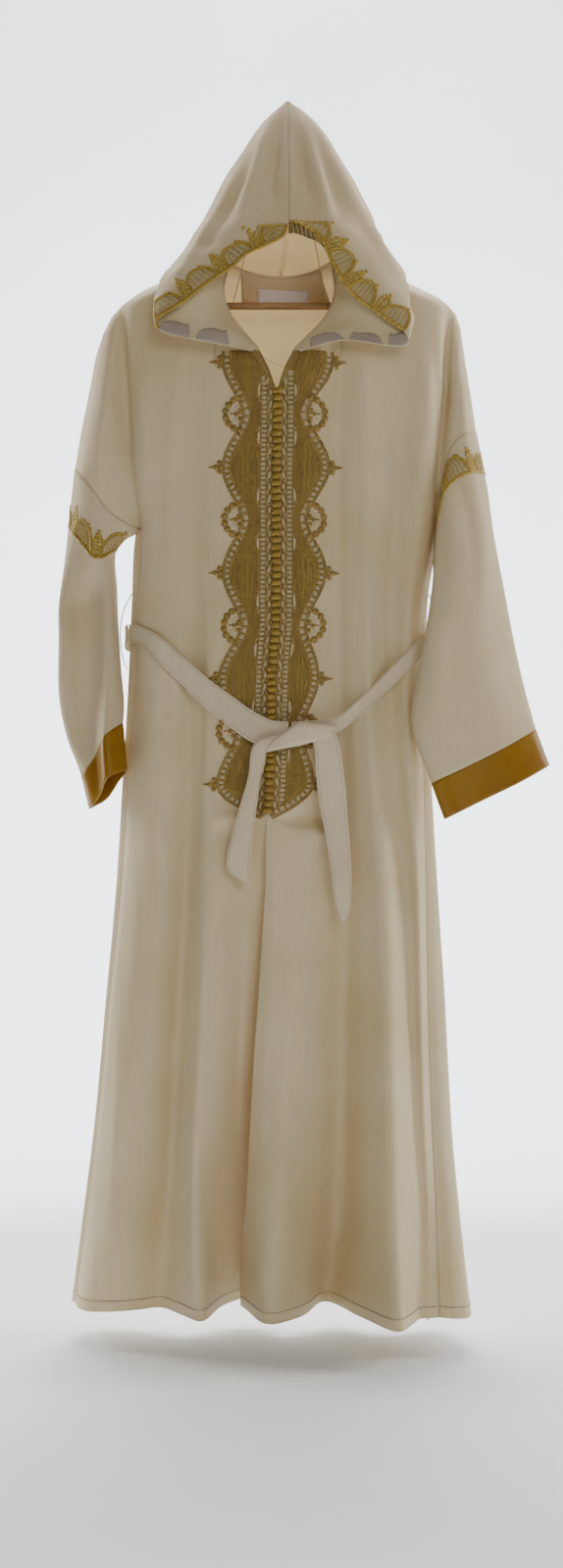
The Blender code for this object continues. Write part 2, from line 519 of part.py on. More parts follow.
def polyline(points, shares):
    points = np.asarray(points, float)
    lengths = np.concatenate([[0.0], np.cumsum(np.linalg.norm(np.diff(points, axis=0), axis=1))])
    wanted = np.asarray(shares) * lengths[-1]
    return np.column_stack([np.interp(wanted, lengths, points[:, k]) for k in range(points.shape[1])])


def silhouette(side, shares):
    """The outer edge of the arm, from the corner of the shoulder down to the drop seam."""
    cut = SIDES[side]
    points = [p for p in cut["shoulder"] if p[1] <= cut["corner"][1]]
    return polyline(points, shares)


def arm_grid(side, depth):
    """The cloth over the arm, from the armhole line to the silhouette."""
    cut = SIDES[side]
    shares = upper_shares()
    _, _, top = top_line(side, cut["stops"], NECK_FRONT_COLUMNS, ARM_COLUMNS)
    bottom = along(cut["drop"], np.linspace(0, 1, ARM_COLUMNS + 1))
    edge = silhouette(side, shares)
    grid = np.zeros((len(shares), ARM_COLUMNS + 1, 3))
    for j in range(ARM_COLUMNS + 1):
        for i, share in enumerate(shares):
            if j == ARM_COLUMNS:
                x, z = edge[i]
            else:
                x, z = top[j] + (bottom[j] - top[j]) * share
            grid[i, j] = (x, depth(x, z), z)
    grid[:, -1, 1] = 0.0
    grid[0, :, 1] = 0.0
    return grid


def front_grids(side):
    """Two grids of a front, above and below the underarm, rows down and columns outwards."""
    cut = SIDES[side]
    sign = cut["sign"]
    rows = lower_rows()
    lower = np.zeros((len(rows), FRONT_COLUMNS, 3))
    for i, z in enumerate(rows):
        columns = front_columns(side, z)
        lower[i, :, 0] = columns[:, 0]
        lower[i, :, 1] = columns[:, 1]
        lower[i, :, 2] = z
    neck, tops, _ = top_line(side, cut["stops"], NECK_FRONT_COLUMNS, ARM_COLUMNS)
    top = np.vstack([neck[:-1], tops])
    shares = upper_shares()
    arm = arm_grid(side, lambda x, z: front_depth(side, x, z))
    upper = np.zeros((len(shares), FRONT_COLUMNS, 3))
    for j in range(FRONT_COLUMNS):
        for i, share in enumerate(shares):
            z = top[j, 1] + (UNDERARM - top[j, 1]) * share
            ease = (1 - share) ** 2
            if j <= 3:
                x = column_x(side, j, z)
                x += (top[j, 0] - column_x(side, j, top[j, 1])) * ease
            else:
                x = lower_x(side, j, z) + (top[j, 0] - lower_x(side, j, top[j, 1])) * ease
            upper[i, j] = (x, front_depth(side, x, z), z)
        if j == 0:
            for i in range(len(shares)):
                upper[i, 0, 0], upper[i, 0, 1] = centre_at(cut["centre"], upper[i, 0, 2])
    upper[0, NECK_FRONT_COLUMNS:, 1] = 0.0
    upper[-1] = lower[0]
    arm[:, 0] = upper[:, -1]
    full = np.concatenate([upper, arm[:, 1:]], axis=1)
    if sign < 0:
        return [full[:, ::-1], lower[:, ::-1]]
    return [full, lower]


def lower_x(side, j, z):
    return float(front_columns(side, z)[j, 0])


def column_x(side, j, z):
    wide = embroidery_width(side, z)
    inner = EMBROIDERY_INNER
    sign = SIDES[side]["sign"]
    opening = centre_at(SIDES[side]["centre"], z)[0]
    edge = centre_at(CENTRE_SHARED, z)[0] + sign * wide
    first = opening + sign * inner
    return [opening, first, 0.5 * (first + edge), edge][j]


def back_grids():
    """Two grids of the back, seen from behind, columns from the right side to the left side."""
    rows = lower_rows()
    steps = np.linspace(0, len(FOLDS_BACK[0]) - 2, BACK_COLUMNS)
    lower = np.zeros((len(rows), BACK_COLUMNS, 3))
    for i, z in enumerate(rows):
        points = table_at(FOLDS_BACK, z)
        values = through(np.arange(len(points)), points, steps)
        lower[i, :, 0] = values[:, 0]
        lower[i, :, 1] = values[:, 1]
        lower[i, :, 2] = z
        lower[i, 0, :2] = front_columns("right", z)[-1]
        lower[i, -1, :2] = front_columns("left", z)[-1]
    top = back_top()
    shares = upper_shares()
    upper = np.zeros((len(shares), BACK_COLUMNS, 3))
    for j in range(BACK_COLUMNS):
        for i, share in enumerate(shares):
            z = top[j, 1] + (UNDERARM - top[j, 1]) * share
            natural = back_x(steps[j], z)
            x = natural + (top[j, 0] - back_x(steps[j], top[j, 1])) * (1 - share) ** 2
            upper[i, j] = (x, back_depth(x, z), z)
    upper[0, :SHOULDER_COLUMNS, 1] = 0.0
    upper[0, -SHOULDER_COLUMNS:, 1] = 0.0
    upper[-1] = lower[0]
    arms = {}
    for side in SIDES:
        arms[side] = arm_grid(side, back_depth)
    arms["right"][:, 0] = upper[:, 0]
    arms["left"][:, 0] = upper[:, -1]
    full = np.concatenate([arms["right"][:, :0:-1], upper, arms["left"][:, 1:]], axis=1)
    return [full[:, ::-1], lower[:, ::-1]]


def back_x(step, z):
    points = table_at(FOLDS_BACK, z)
    return float(through(np.arange(len(points)), points, step)[0, 0])


def back_top():
    right = top_line("right", SHOULDER_STOPS_RIGHT, NECK_FRONT_COLUMNS, ARM_COLUMNS)[1][::-1]
    left = top_line("left", SHOULDER_STOPS_LEFT, NECK_FRONT_COLUMNS, ARM_COLUMNS)[1]
    neck = along(NECK_BACK, np.linspace(0, 1, NECK_COLUMNS + 1))[1:-1]
    return np.vstack([right, neck, left])


def sleeve_grids(side, rings, cuff):
    """Sleeve and cuff grids: the first ring is the drop seam, shared with the front and the back."""
    front = arm_grid(side, lambda x, z: front_depth(side, x, z))[-1]
    back = arm_grid(side, back_depth)[-1]
    start = front_columns(side, UNDERARM)[-1]
    front[0] = (start[0], start[1], UNDERARM)
    seam = np.vstack([front, back[1:-1][::-1]])
    seam[0] += UNDERARM_RELIEF * unit(np.array(rings[0][0]) - seam[0])
    loops = [seam]
    for ring in rings + cuff:
        loops.append(closed_ring(ring, 2 * ARM_COLUMNS))
    loops = np.array(loops)
    keys = np.arange(len(loops))
    # Extra rows between the rings, smooth along the sleeve; the cuff keeps its own two rings
    last = len(rings) + 1
    wanted = np.concatenate([np.arange(0, last, 0.5), [last]])
    sleeve = through(keys[:last + 1], loops[:last + 1], wanted)
    sleeve = np.concatenate([sleeve, sleeve[:, :1]], axis=1)
    band = np.concatenate([loops[last:], loops[last:, :1]], axis=1)
    if SIDES[side]["sign"] < 0:
        return sleeve[:, ::-1], band[:, ::-1]
    return sleeve, band


def closed_ring(points, count):
    points = np.asarray(points, float)
    size = len(points)
    padded = np.vstack([points[-2:], points, points[:3]])
    keys = np.arange(-2, size + 3)
    return through(keys, padded, np.arange(count) * size / count)


def neckline(side, fronts, back, normals):
    """Points just outside one half of the neckline: middle of the back, side of the neck, corner.

    Every second point is a corner of the panels, and the one between lies on their curve.
    """
    sign = SIDES[side]["sign"]
    top = back[0][0]
    middle = len(top) // 2
    behind = [top[middle - sign * k] for k in range(NECK_COLUMNS // 2 + 1)]
    front = fronts[side][0][0] if sign > 0 else fronts[side][0][0][::-1]
    before = [front[k] for k in range(NECK_FRONT_COLUMNS - 1, -1, -1)]
    corners = behind + before
    outward = [unit(normals[key_of(p)]) for p in corners]
    line = []
    shares = []
    for k, point in enumerate(corners):
        line.append(point + outward[k] * NECK_SEAM_OFFSET)
        share = k / len(behind[1:]) if k < len(behind) else 1 + (k - len(behind) + 1) / len(before)
        shares.append(share)
        if k + 1 < len(corners):
            step = 1 / len(behind[1:]) if k + 1 < len(behind) else 1 / len(before)
            between = neck_point(side, share + 0.5 * step)
            line.append(between + unit(outward[k] + outward[k + 1]) * NECK_BETWEEN_OFFSET)
            shares.append(share + 0.5 * step)
    return np.array(line), np.array(shares)


def neck_point(side, share):
    """A point of the neckline: 0 middle of the back, 1 side of the neck, 2 front corner."""
    if share <= 1:
        half = 0.5 * (1 - share) if side == "right" else 0.5 * (1 + share)
        x, z = along(NECK_BACK, [half])[0]
        return np.array([x, back_depth(x, z), z])
    x, z = along(SIDES[side]["neck"], [share - 1])[0]
    return np.array([x, front_depth(side, x, z), z])


def hood_grid(side, rows, line, shares):
    """Rows of a hood half; below the peak each one ends at a point of the neckline."""
    peak = [row for row in rows if not isinstance(row[4], float)]
    low = [row for row in rows if isinstance(row[4], float)]
    loops = [np.array(row, float) for row in peak]
    keys = [row[4] for row in low]
    sides = through(keys, np.array([row[:4] for row in low], float), shares)
    for points, end in zip(sides, line):
        loops.append(np.vstack([points, end]))
    grid = []
    for points in loops:
        total = np.linalg.norm(np.diff(points, axis=0), axis=1).sum()
        trim = min(HOOD_TRIM_WIDTH / total, 0.35)
        steps = np.concatenate([[0, trim / 2], np.linspace(trim, 1, HOOD_COLUMNS)])
        grid.append(along(points, steps))
    grid = np.array(grid)
    return grid if side == "left" else grid[:, ::-1]


def unit(vector):
    return vector / max(np.linalg.norm(vector), 1e-9)


def key_of(point):
    return tuple(np.round(point, 2) + 0.0)


def triangles(grid):
    """Corner points of two triangles for each cell, wound so that they face outwards."""
    rows, columns = grid.shape[:2]
    for i in range(rows - 1):
        for j in range(columns - 1):
            a, b = grid[i, j], grid[i + 1, j]
            c, d = grid[i + 1, j + 1], grid[i, j + 1]
            yield a, b, c
            yield a, c, d


def add_normals(table, grids):
    for grid in grids:
        for a, b, c in triangles(grid):
            face = np.cross(b - a, c - a)
            for point in (a, b, c):
                table[key_of(point)] = table.get(key_of(point), np.zeros(3)) + face
    return table


def wall(name, grids, normals, bottom, top, material, gap=HALF_GAP):
    """A closed wall on the grids, from one height to another along the shared normals."""
    index = {}
    points = []
    faces = []
    for grid in grids:
        for corner in triangles(grid):
            face = []
            for point in corner:
                key = key_of(point)
                if key not in index:
                    index[key] = len(points)
                    points.append(np.array(point, float))
                face.append(index[key])
            if len(set(face)) == 3:
                faces.append(face)
    base = np.array(points)
    outward = np.array([unit(normals[key]) for key in index])
    edges = {}
    for face in faces:
        for k in range(3):
            edges[(face[k], face[(k + 1) % 3])] = face
    rim = [edge for edge in edges if (edge[1], edge[0]) not in edges]
    shift = np.zeros_like(base)
    inward = {}
    for a, b in rim:
        face = edges[(a, b)]
        flat = unit(np.cross(base[face[1]] - base[face[0]], base[face[2]] - base[face[0]]))
        side = unit(np.cross(flat, base[b] - base[a]))
        inward.setdefault(a, []).append(side)
        inward.setdefault(b, []).append(side)
    for point, ways in inward.items():
        total = np.sum(ways, axis=0)
        spread = max(1 + float(np.dot(ways[0], ways[-1])), 0.5)
        shift[point] = gap * total / spread if len(ways) == 2 else gap * unit(total)
    base = base + shift
    low = base + outward * bottom
    high = base + outward * top
    mesh = bpy.data.meshes.new(name)
    build = bmesh.new()
    over = [build.verts.new(p * MM) for p in high]
    under = [build.verts.new(p * MM) for p in low]
    for face in faces:
        build.faces.new([over[k] for k in face])
        build.faces.new([under[k] for k in reversed(face)])
    for a, b in rim:
        build.faces.new([over[b], over[a], under[a]])
        build.faces.new([over[b], under[a], under[b]])
    build.to_mesh(mesh)
    build.free()
    return add_object(name, mesh, material)


def material_for(name, finish):
    colour, roughness, metallic = COLOURS[finish]
    material = bpy.data.materials.new(name)
    material.use_nodes = True
    shader = material.node_tree.nodes["Principled BSDF"]
    shader.inputs["Base Color"].default_value = (*colour, 1.0)
    shader.inputs["Roughness"].default_value = roughness
    shader.inputs["Metallic"].default_value = metallic
    return material


def add_object(name, mesh, finish):
    thing = bpy.data.objects.new(name, mesh)
    mesh.materials.append(material_for(name, finish))
    bpy.data.collections[COLLECTION].objects.link(thing)
    return thing


def strip_grid(upper, lower):
    return np.stack([np.asarray(upper, float), np.asarray(lower, float)], axis=0)


def ribbon(name, upper, lower, count, material, thick=BELT_THICK):
    """A flat cloth strip between two edges, its outer face on the grid."""
    shares = np.linspace(0, 1, count)
    grid = strip_grid(along(upper, shares), along(lower, shares))
    normals = add_normals({}, [grid])
    return wall(name, [grid], normals, -thick, 0.0, material, gap=0.0)


def make_fronts(normals, fronts):
    for side in SIDES:
        wall("front_" + side, fronts[side], normals, -WALL, 0.0, "cloth")


def make_embroidery(normals, fronts):
    """The raised panels, on the front's own points from the neckline to the pointed end."""
    rows = lower_rows()
    last = int(np.argmin(np.abs(rows - EMBROIDERY_END))) + 1
    for side in SIDES:
        upper, lower = fronts[side]
        if side == "right":
            cells = [upper[1:, -4:-1], lower[:last, -4:-1]]
        else:
            cells = [upper[1:, 1:4], lower[:last, 1:4]]
        wall("embroidery_" + side, cells, normals, LIFT, LIFT + EMBROIDERY_THICK, "gold", gap=0.0)


def make_sleeves(normals, sleeves):
    for side, (sleeve, band) in sleeves.items():
        wall("sleeve_" + side, [sleeve], normals, -WALL, 0.0, "cloth", gap=SLEEVE_GAP)
        wall("cuff_" + side, [band], normals, -WALL, 0.0, "satin", gap=SLEEVE_GAP)
        wall("sleeve_trim_" + side, [sleeve[1:3]], normals, LIFT, LIFT + TRIM_THICK, "gold", gap=0.0)


def make_hood(hoods):
    normals = {}
    for grid in hoods.values():
        add_normals(normals, [grid])
    for side, grid in hoods.items():
        wall("hood_" + side, [grid], normals, -WALL, 0.0, "cloth")
        rows = grid[HOOD_TRIM_ROWS[0]:HOOD_TRIM_ROWS[1]]
        cells = rows[:, :3] if side == "left" else rows[:, -3:]
        wall("hood_trim_" + side, [cells], normals, HOOD_TRIM_LIFT, HOOD_TRIM_LIFT + TRIM_THICK, "gold",
             gap=0.0)


def make_neck(normals, back):
    """The facing inside the back neck and the bare label on it."""
    upper = back[0]
    middle = upper.shape[1] // 2
    half = NECK_COLUMNS // 2 - 1
    cells = upper[:FACING_ROWS, middle - half:middle + half + 1]
    inner = -(WALL + LIFT)
    wall("neck_facing", [cells], normals, inner - FACING_THICK, inner, "inside", gap=3.0)
    width, height = LABEL_SIZE
    tilt = math.radians(LABEL_TILT)
    grid = np.zeros((2, 5, 3))
    for i, down in enumerate((0.5, -0.5)):
        for j, share in enumerate(np.linspace(0.5, -0.5, 5)):
            x = LABEL_CENTRE[0] + share * width * math.cos(tilt) - down * height * math.sin(tilt)
            z = LABEL_CENTRE[1] + share * width * math.sin(tilt) + down * height * math.cos(tilt)
            y = back_depth(x, z) - LABEL_LIFT
            grid[i, j] = (x, y, z)
    wall("neck_label", [grid], add_normals({}, [grid]), -LABEL_THICK, 0.0, "label", gap=0.0)


def make_buttons():
    """One cord of knots down the opening, half round, on a flat back."""
    rows = lower_rows()
    shares = upper_shares()
    heights = np.concatenate([NECK_FRONT_LEFT[-1][1] + (UNDERARM - NECK_FRONT_LEFT[-1][1]) * shares, rows[1:]])
    centres = np.array([centre_at(CENTRE_LEFT, z) for z in heights])
    count = BUTTON_COUNT * 2 + 1
    grid = []
    for k in range(count):
        z = BUTTON_TOP + (BUTTON_BOTTOM - BUTTON_TOP) * k / (count - 1)
        swell = 1.0 if k % 2 else BUTTON_NECK
        x = np.interp(-z, -heights, centres[:, 0])
        y = np.interp(-z, -heights, centres[:, 1]) - LIFT - 0.15
        ring = []
        for step in range(BUTTON_SIDES + 1):
            angle = math.pi * step / BUTTON_SIDES
            ring.append((x - BUTTON_HALF_WIDTH * swell * math.cos(angle),
                         y - BUTTON_HEIGHT * swell * math.sin(angle), z))
        grid.append(ring)
    grid = np.array(grid)
    mesh = bpy.data.meshes.new("button_row")
    build = bmesh.new()
    points = [[build.verts.new(np.array(p) * MM) for p in ring] for ring in grid]
    for i in range(count - 1):
        for j in range(BUTTON_SIDES):
            build.faces.new([points[i][j], points[i + 1][j], points[i + 1][j + 1], points[i][j + 1]])
        build.faces.new([points[i][-1], points[i + 1][-1], points[i + 1][0], points[i][0]])
    build.faces.new(points[0])
    build.faces.new(points[-1][::-1])
    bmesh.ops.recalc_face_normals(build, faces=build.faces)
    build.to_mesh(mesh)
    build.free()
    add_object("button_row", mesh, "button")


def make_belt():
    for name, stations in (("belt_right", BELT_RIGHT_STATIONS), ("belt_left", BELT_LEFT_STATIONS),
                           ("belt_back", BELT_BACK_STATIONS)):
        upper = [(x, y, top) for x, y, top, _ in stations]
        lower = [(x, y, bottom) for x, y, _, bottom in stations]
        ribbon(name, upper, lower, 3 * len(stations), "cloth")
    for name, stations in (("belt_tail_right", TAIL_RIGHT_STATIONS), ("belt_tail_left", TAIL_LEFT_STATIONS)):
        left = [(a, y, z) for z, a, _, y in stations]
        right = [(b, y, z) for z, _, b, y in stations]
        ribbon(name, right, left, 2 * len(stations), "cloth")
    for name, line, sign in (("belt_loop_right", LOOP_RIGHT_LINE, -1), ("belt_loop_left", LOOP_LEFT_LINE, 1)):
        near = [(x, LOOP_DEPTH - LOOP_HALF_WIDTH, z) for x, z in line]
        far = [(x, LOOP_DEPTH + LOOP_HALF_WIDTH, z) for x, z in line]
        edges = (near, far) if sign > 0 else (far, near)
        ribbon(name, edges[1], edges[0], 2 * len(line), "cloth", thick=1.2)


def make_knot():
    mesh = bpy.data.meshes.new("belt_knot")
    build = bmesh.new()
    bmesh.ops.create_uvsphere(build, u_segments=16, v_segments=10, radius=1.0)
    tilt = math.radians(KNOT_TILT)
    for vert in build.verts:
        x = vert.co.x * KNOT_HALF[0]
        z = vert.co.z * KNOT_HALF[2] * (1 + 0.18 * vert.co.x)
        y = KNOT_CENTRE[1] + vert.co.y * KNOT_HALF[1]
        y = min(y, KNOT_BACK)
        vert.co.x = (KNOT_CENTRE[0] + x * math.cos(tilt) - z * math.sin(tilt)) * MM
        vert.co.z = (KNOT_CENTRE[2] + x * math.sin(tilt) + z * math.cos(tilt)) * MM
        vert.co.y = y * MM
    build.to_mesh(mesh)
    build.free()
    add_object("belt_knot", mesh, "cloth")


def wire_object(name, points, radius, finish, cyclic=False):
    curve = bpy.data.curves.new(name, "CURVE")
    curve.dimensions = "3D"
    curve.bevel_depth = radius * MM
    curve.bevel_resolution = 2
    curve.use_fill_caps = True
    spline = curve.splines.new("POLY")
    spline.points.add(len(points) - 1)
    for spot, point in zip(spline.points, points):
        spot.co = (*(np.array(point) * MM), 1.0)
    spline.use_cyclic_u = cyclic
    curve.materials.append(material_for(name, finish))
    thing = bpy.data.objects.new(name, curve)
    bpy.data.collections[COLLECTION].objects.link(thing)
    return thing


def make_hanger():
    """The rod lies in the shoulders; the bail stands on it and its eye is the origin."""
    bpy.ops.mesh.primitive_cylinder_add(vertices=16, radius=ROD_RADIUS * MM, depth=2 * ROD_HALF_LENGTH * MM,
                                        location=(0, ROD_CENTRE[0] * MM, ROD_CENTRE[1] * MM),
                                        rotation=(0, math.pi / 2, 0))
    rod = bpy.context.object
    rod.name = "hanger_rod"
    rod.data.materials.append(material_for("hanger_rod", "wood"))
    for owner in list(rod.users_collection):
        owner.objects.unlink(rod)
    bpy.data.collections[COLLECTION].objects.link(rod)
    bpy.ops.object.transform_apply(location=False, rotation=True, scale=True)
    foot = ROD_CENTRE[1] + ROD_RADIUS + 0.3
    arch = []
    for step in range(9):
        angle = math.pi * (1.0 - step / 8)
        reach = EYE_RADIUS + LINE_RADIUS
        arch.append((reach * math.cos(angle), 0.0, reach * math.sin(angle) - EYE_RADIUS))
    points = [(BAIL_FEET[0], 0, foot)] + arch + [(BAIL_FEET[1], 0, foot)]
    wire_object("hanger_bail", points, LINE_RADIUS, "wire")


def main():
    clear_scene()
    bpy.context.scene.collection.children.link(bpy.data.collections.new(COLLECTION))
    fronts = {side: front_grids(side) for side in SIDES}
    back = back_grids()
    sleeves = {"right": sleeve_grids("right", SLEEVE_RIGHT, CUFF_RIGHT),
               "left": sleeve_grids("left", SLEEVE_LEFT, CUFF_LEFT)}
    normals = {}
    for grids in list(fronts.values()) + [back] + [list(pair) for pair in sleeves.values()]:
        add_normals(normals, grids)
    hoods = {}
    for side, rows in (("right", HOOD_RIGHT), ("left", HOOD_LEFT)):
        hoods[side] = hood_grid(side, rows, *neckline(side, fronts, back, normals))
    make_fronts(normals, fronts)
    wall("back", back, normals, -WALL, 0.0, "cloth")
    make_embroidery(normals, fronts)
    make_sleeves(normals, sleeves)
    make_hood(hoods)
    make_neck(normals, back)
    make_buttons()
    make_belt()
    make_knot()
    make_hanger()


main()
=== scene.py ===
import math

import bpy
import numpy as np
from mathutils.bvhtree import BVHTree
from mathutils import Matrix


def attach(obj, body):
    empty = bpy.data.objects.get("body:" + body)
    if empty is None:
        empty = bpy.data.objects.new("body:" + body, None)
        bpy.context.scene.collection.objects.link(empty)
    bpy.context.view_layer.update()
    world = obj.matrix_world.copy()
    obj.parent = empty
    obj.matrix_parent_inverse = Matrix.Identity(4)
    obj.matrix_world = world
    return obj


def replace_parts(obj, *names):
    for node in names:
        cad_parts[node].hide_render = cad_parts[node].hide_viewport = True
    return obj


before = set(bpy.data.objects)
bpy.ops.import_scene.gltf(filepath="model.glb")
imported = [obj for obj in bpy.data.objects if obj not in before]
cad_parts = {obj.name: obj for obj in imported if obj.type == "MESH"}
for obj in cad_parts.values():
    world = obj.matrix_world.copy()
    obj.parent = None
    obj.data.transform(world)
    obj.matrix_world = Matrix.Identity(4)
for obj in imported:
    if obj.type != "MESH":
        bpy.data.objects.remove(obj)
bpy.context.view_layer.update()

# A long hooded caftan of ivory satin-back crepe, hanging on a plain rod hanger. Tables are in
# millimetres, the front faces -Y and the names give the wearer's side, so "right" is at -X.

mm = 0.001

photo = {
    "camera": (-0.0053, -3.0, -0.9145),
    "lens": 50.6,           # seen from 3 m, so the hem shows a little from above
    "sensorHeight": 36.0,
    "floor": -1.681,
}

render = bpy.context.scene
eye = bpy.data.objects.new("camera", bpy.data.cameras.new("camera"))
render.collection.objects.link(eye)
eye.location = photo["camera"]
eye.rotation_euler = (math.pi / 2, 0, 0)
eye.data.sensor_fit = "VERTICAL"
eye.data.sensor_height = photo["sensorHeight"]
eye.data.lens = photo["lens"]
eye.data.clip_end = 60
render.camera = eye


# Curves and smooth surfaces

def through(keys, values, at):
    # smooth curve through the values at rising keys, read at the given places
    keys = np.asarray(keys, float)
    values = np.asarray(values, float)
    at = np.atleast_1d(np.asarray(at, float))
    slopes = np.gradient(values, keys, axis=0)
    low = np.clip(np.searchsorted(keys, at, side="right") - 1, 0, len(keys) - 2)
    span = keys[low + 1] - keys[low]
    shape = (-1,) + (1,) * (values.ndim - 1)
    s = ((at - keys[low]) / span).reshape(shape)
    h = span.reshape(shape)
    return ((2 * s ** 3 - 3 * s ** 2 + 1) * values[low] + (s ** 3 - 2 * s ** 2 + s) * h * slopes[low]
            + (3 * s ** 2 - 2 * s ** 3) * values[low + 1] + (s ** 3 - s ** 2) * h * slopes[low + 1])


def runLength(points):
    steps = np.linalg.norm(np.diff(np.asarray(points, float), axis=0), axis=1)
    return np.concatenate([[0.0], np.cumsum(np.maximum(steps, 1e-6))])


def spreadOn(points, lengths, shares):
    wanted = np.asarray(shares, float) * lengths[-1]
    return np.column_stack([np.interp(wanted, lengths, points[:, k]) for k in range(points.shape[1])])


def along(points, shares):
    points = np.asarray(points, float)
    keys = runLength(points)
    fine = through(keys, points, np.linspace(0, keys[-1], 12 * len(points)))
    return spreadOn(fine, runLength(fine), shares)


def polyline(points, shares):
    points = np.asarray(points, float)
    return spreadOn(points, runLength(points), shares)


def asRows(*values):
    # the values as arrays of one length
    return np.broadcast_arrays(*(np.atleast_1d(np.asarray(value, float)) for value in values))


def unit(vectors):
    vectors = np.asarray(vectors, float)
    return vectors / np.maximum(np.linalg.norm(vectors, axis=-1, keepdims=True), 1e-9)


def smoothStep(values):
    values = np.clip(values, 0, 1)
    return values * values * (3 - 2 * values)


def gridNormals(grid):
    return unit(np.cross(np.gradient(grid, axis=0), np.gradient(grid, axis=1)))


def outwardNormals(grid, middle):
    # the grid's normals, turned away from the middle
    normals = gridNormals(grid)
    return normals * np.sign((normals * (grid - middle)).sum(-1).mean())


def fineLine(points, counts):
    # smooth curve with each stretch cut into its own number of steps
    keys = runLength(points)
    at = [keys[j] + (keys[j + 1] - keys[j]) * np.arange(n) / n for j, n in enumerate(counts)]
    return through(keys, points, np.concatenate(at + [keys[-1:]]))


# The caftan's shape. Rows of "centre" are the opening's (z, x, y). Rows of "folds" and of the arms'
# tables start with z and go on with the section's (x, y) points. Outlines are (x, z) from in front,
# and each ring of a sleeve or a cuff is (x, y, z).

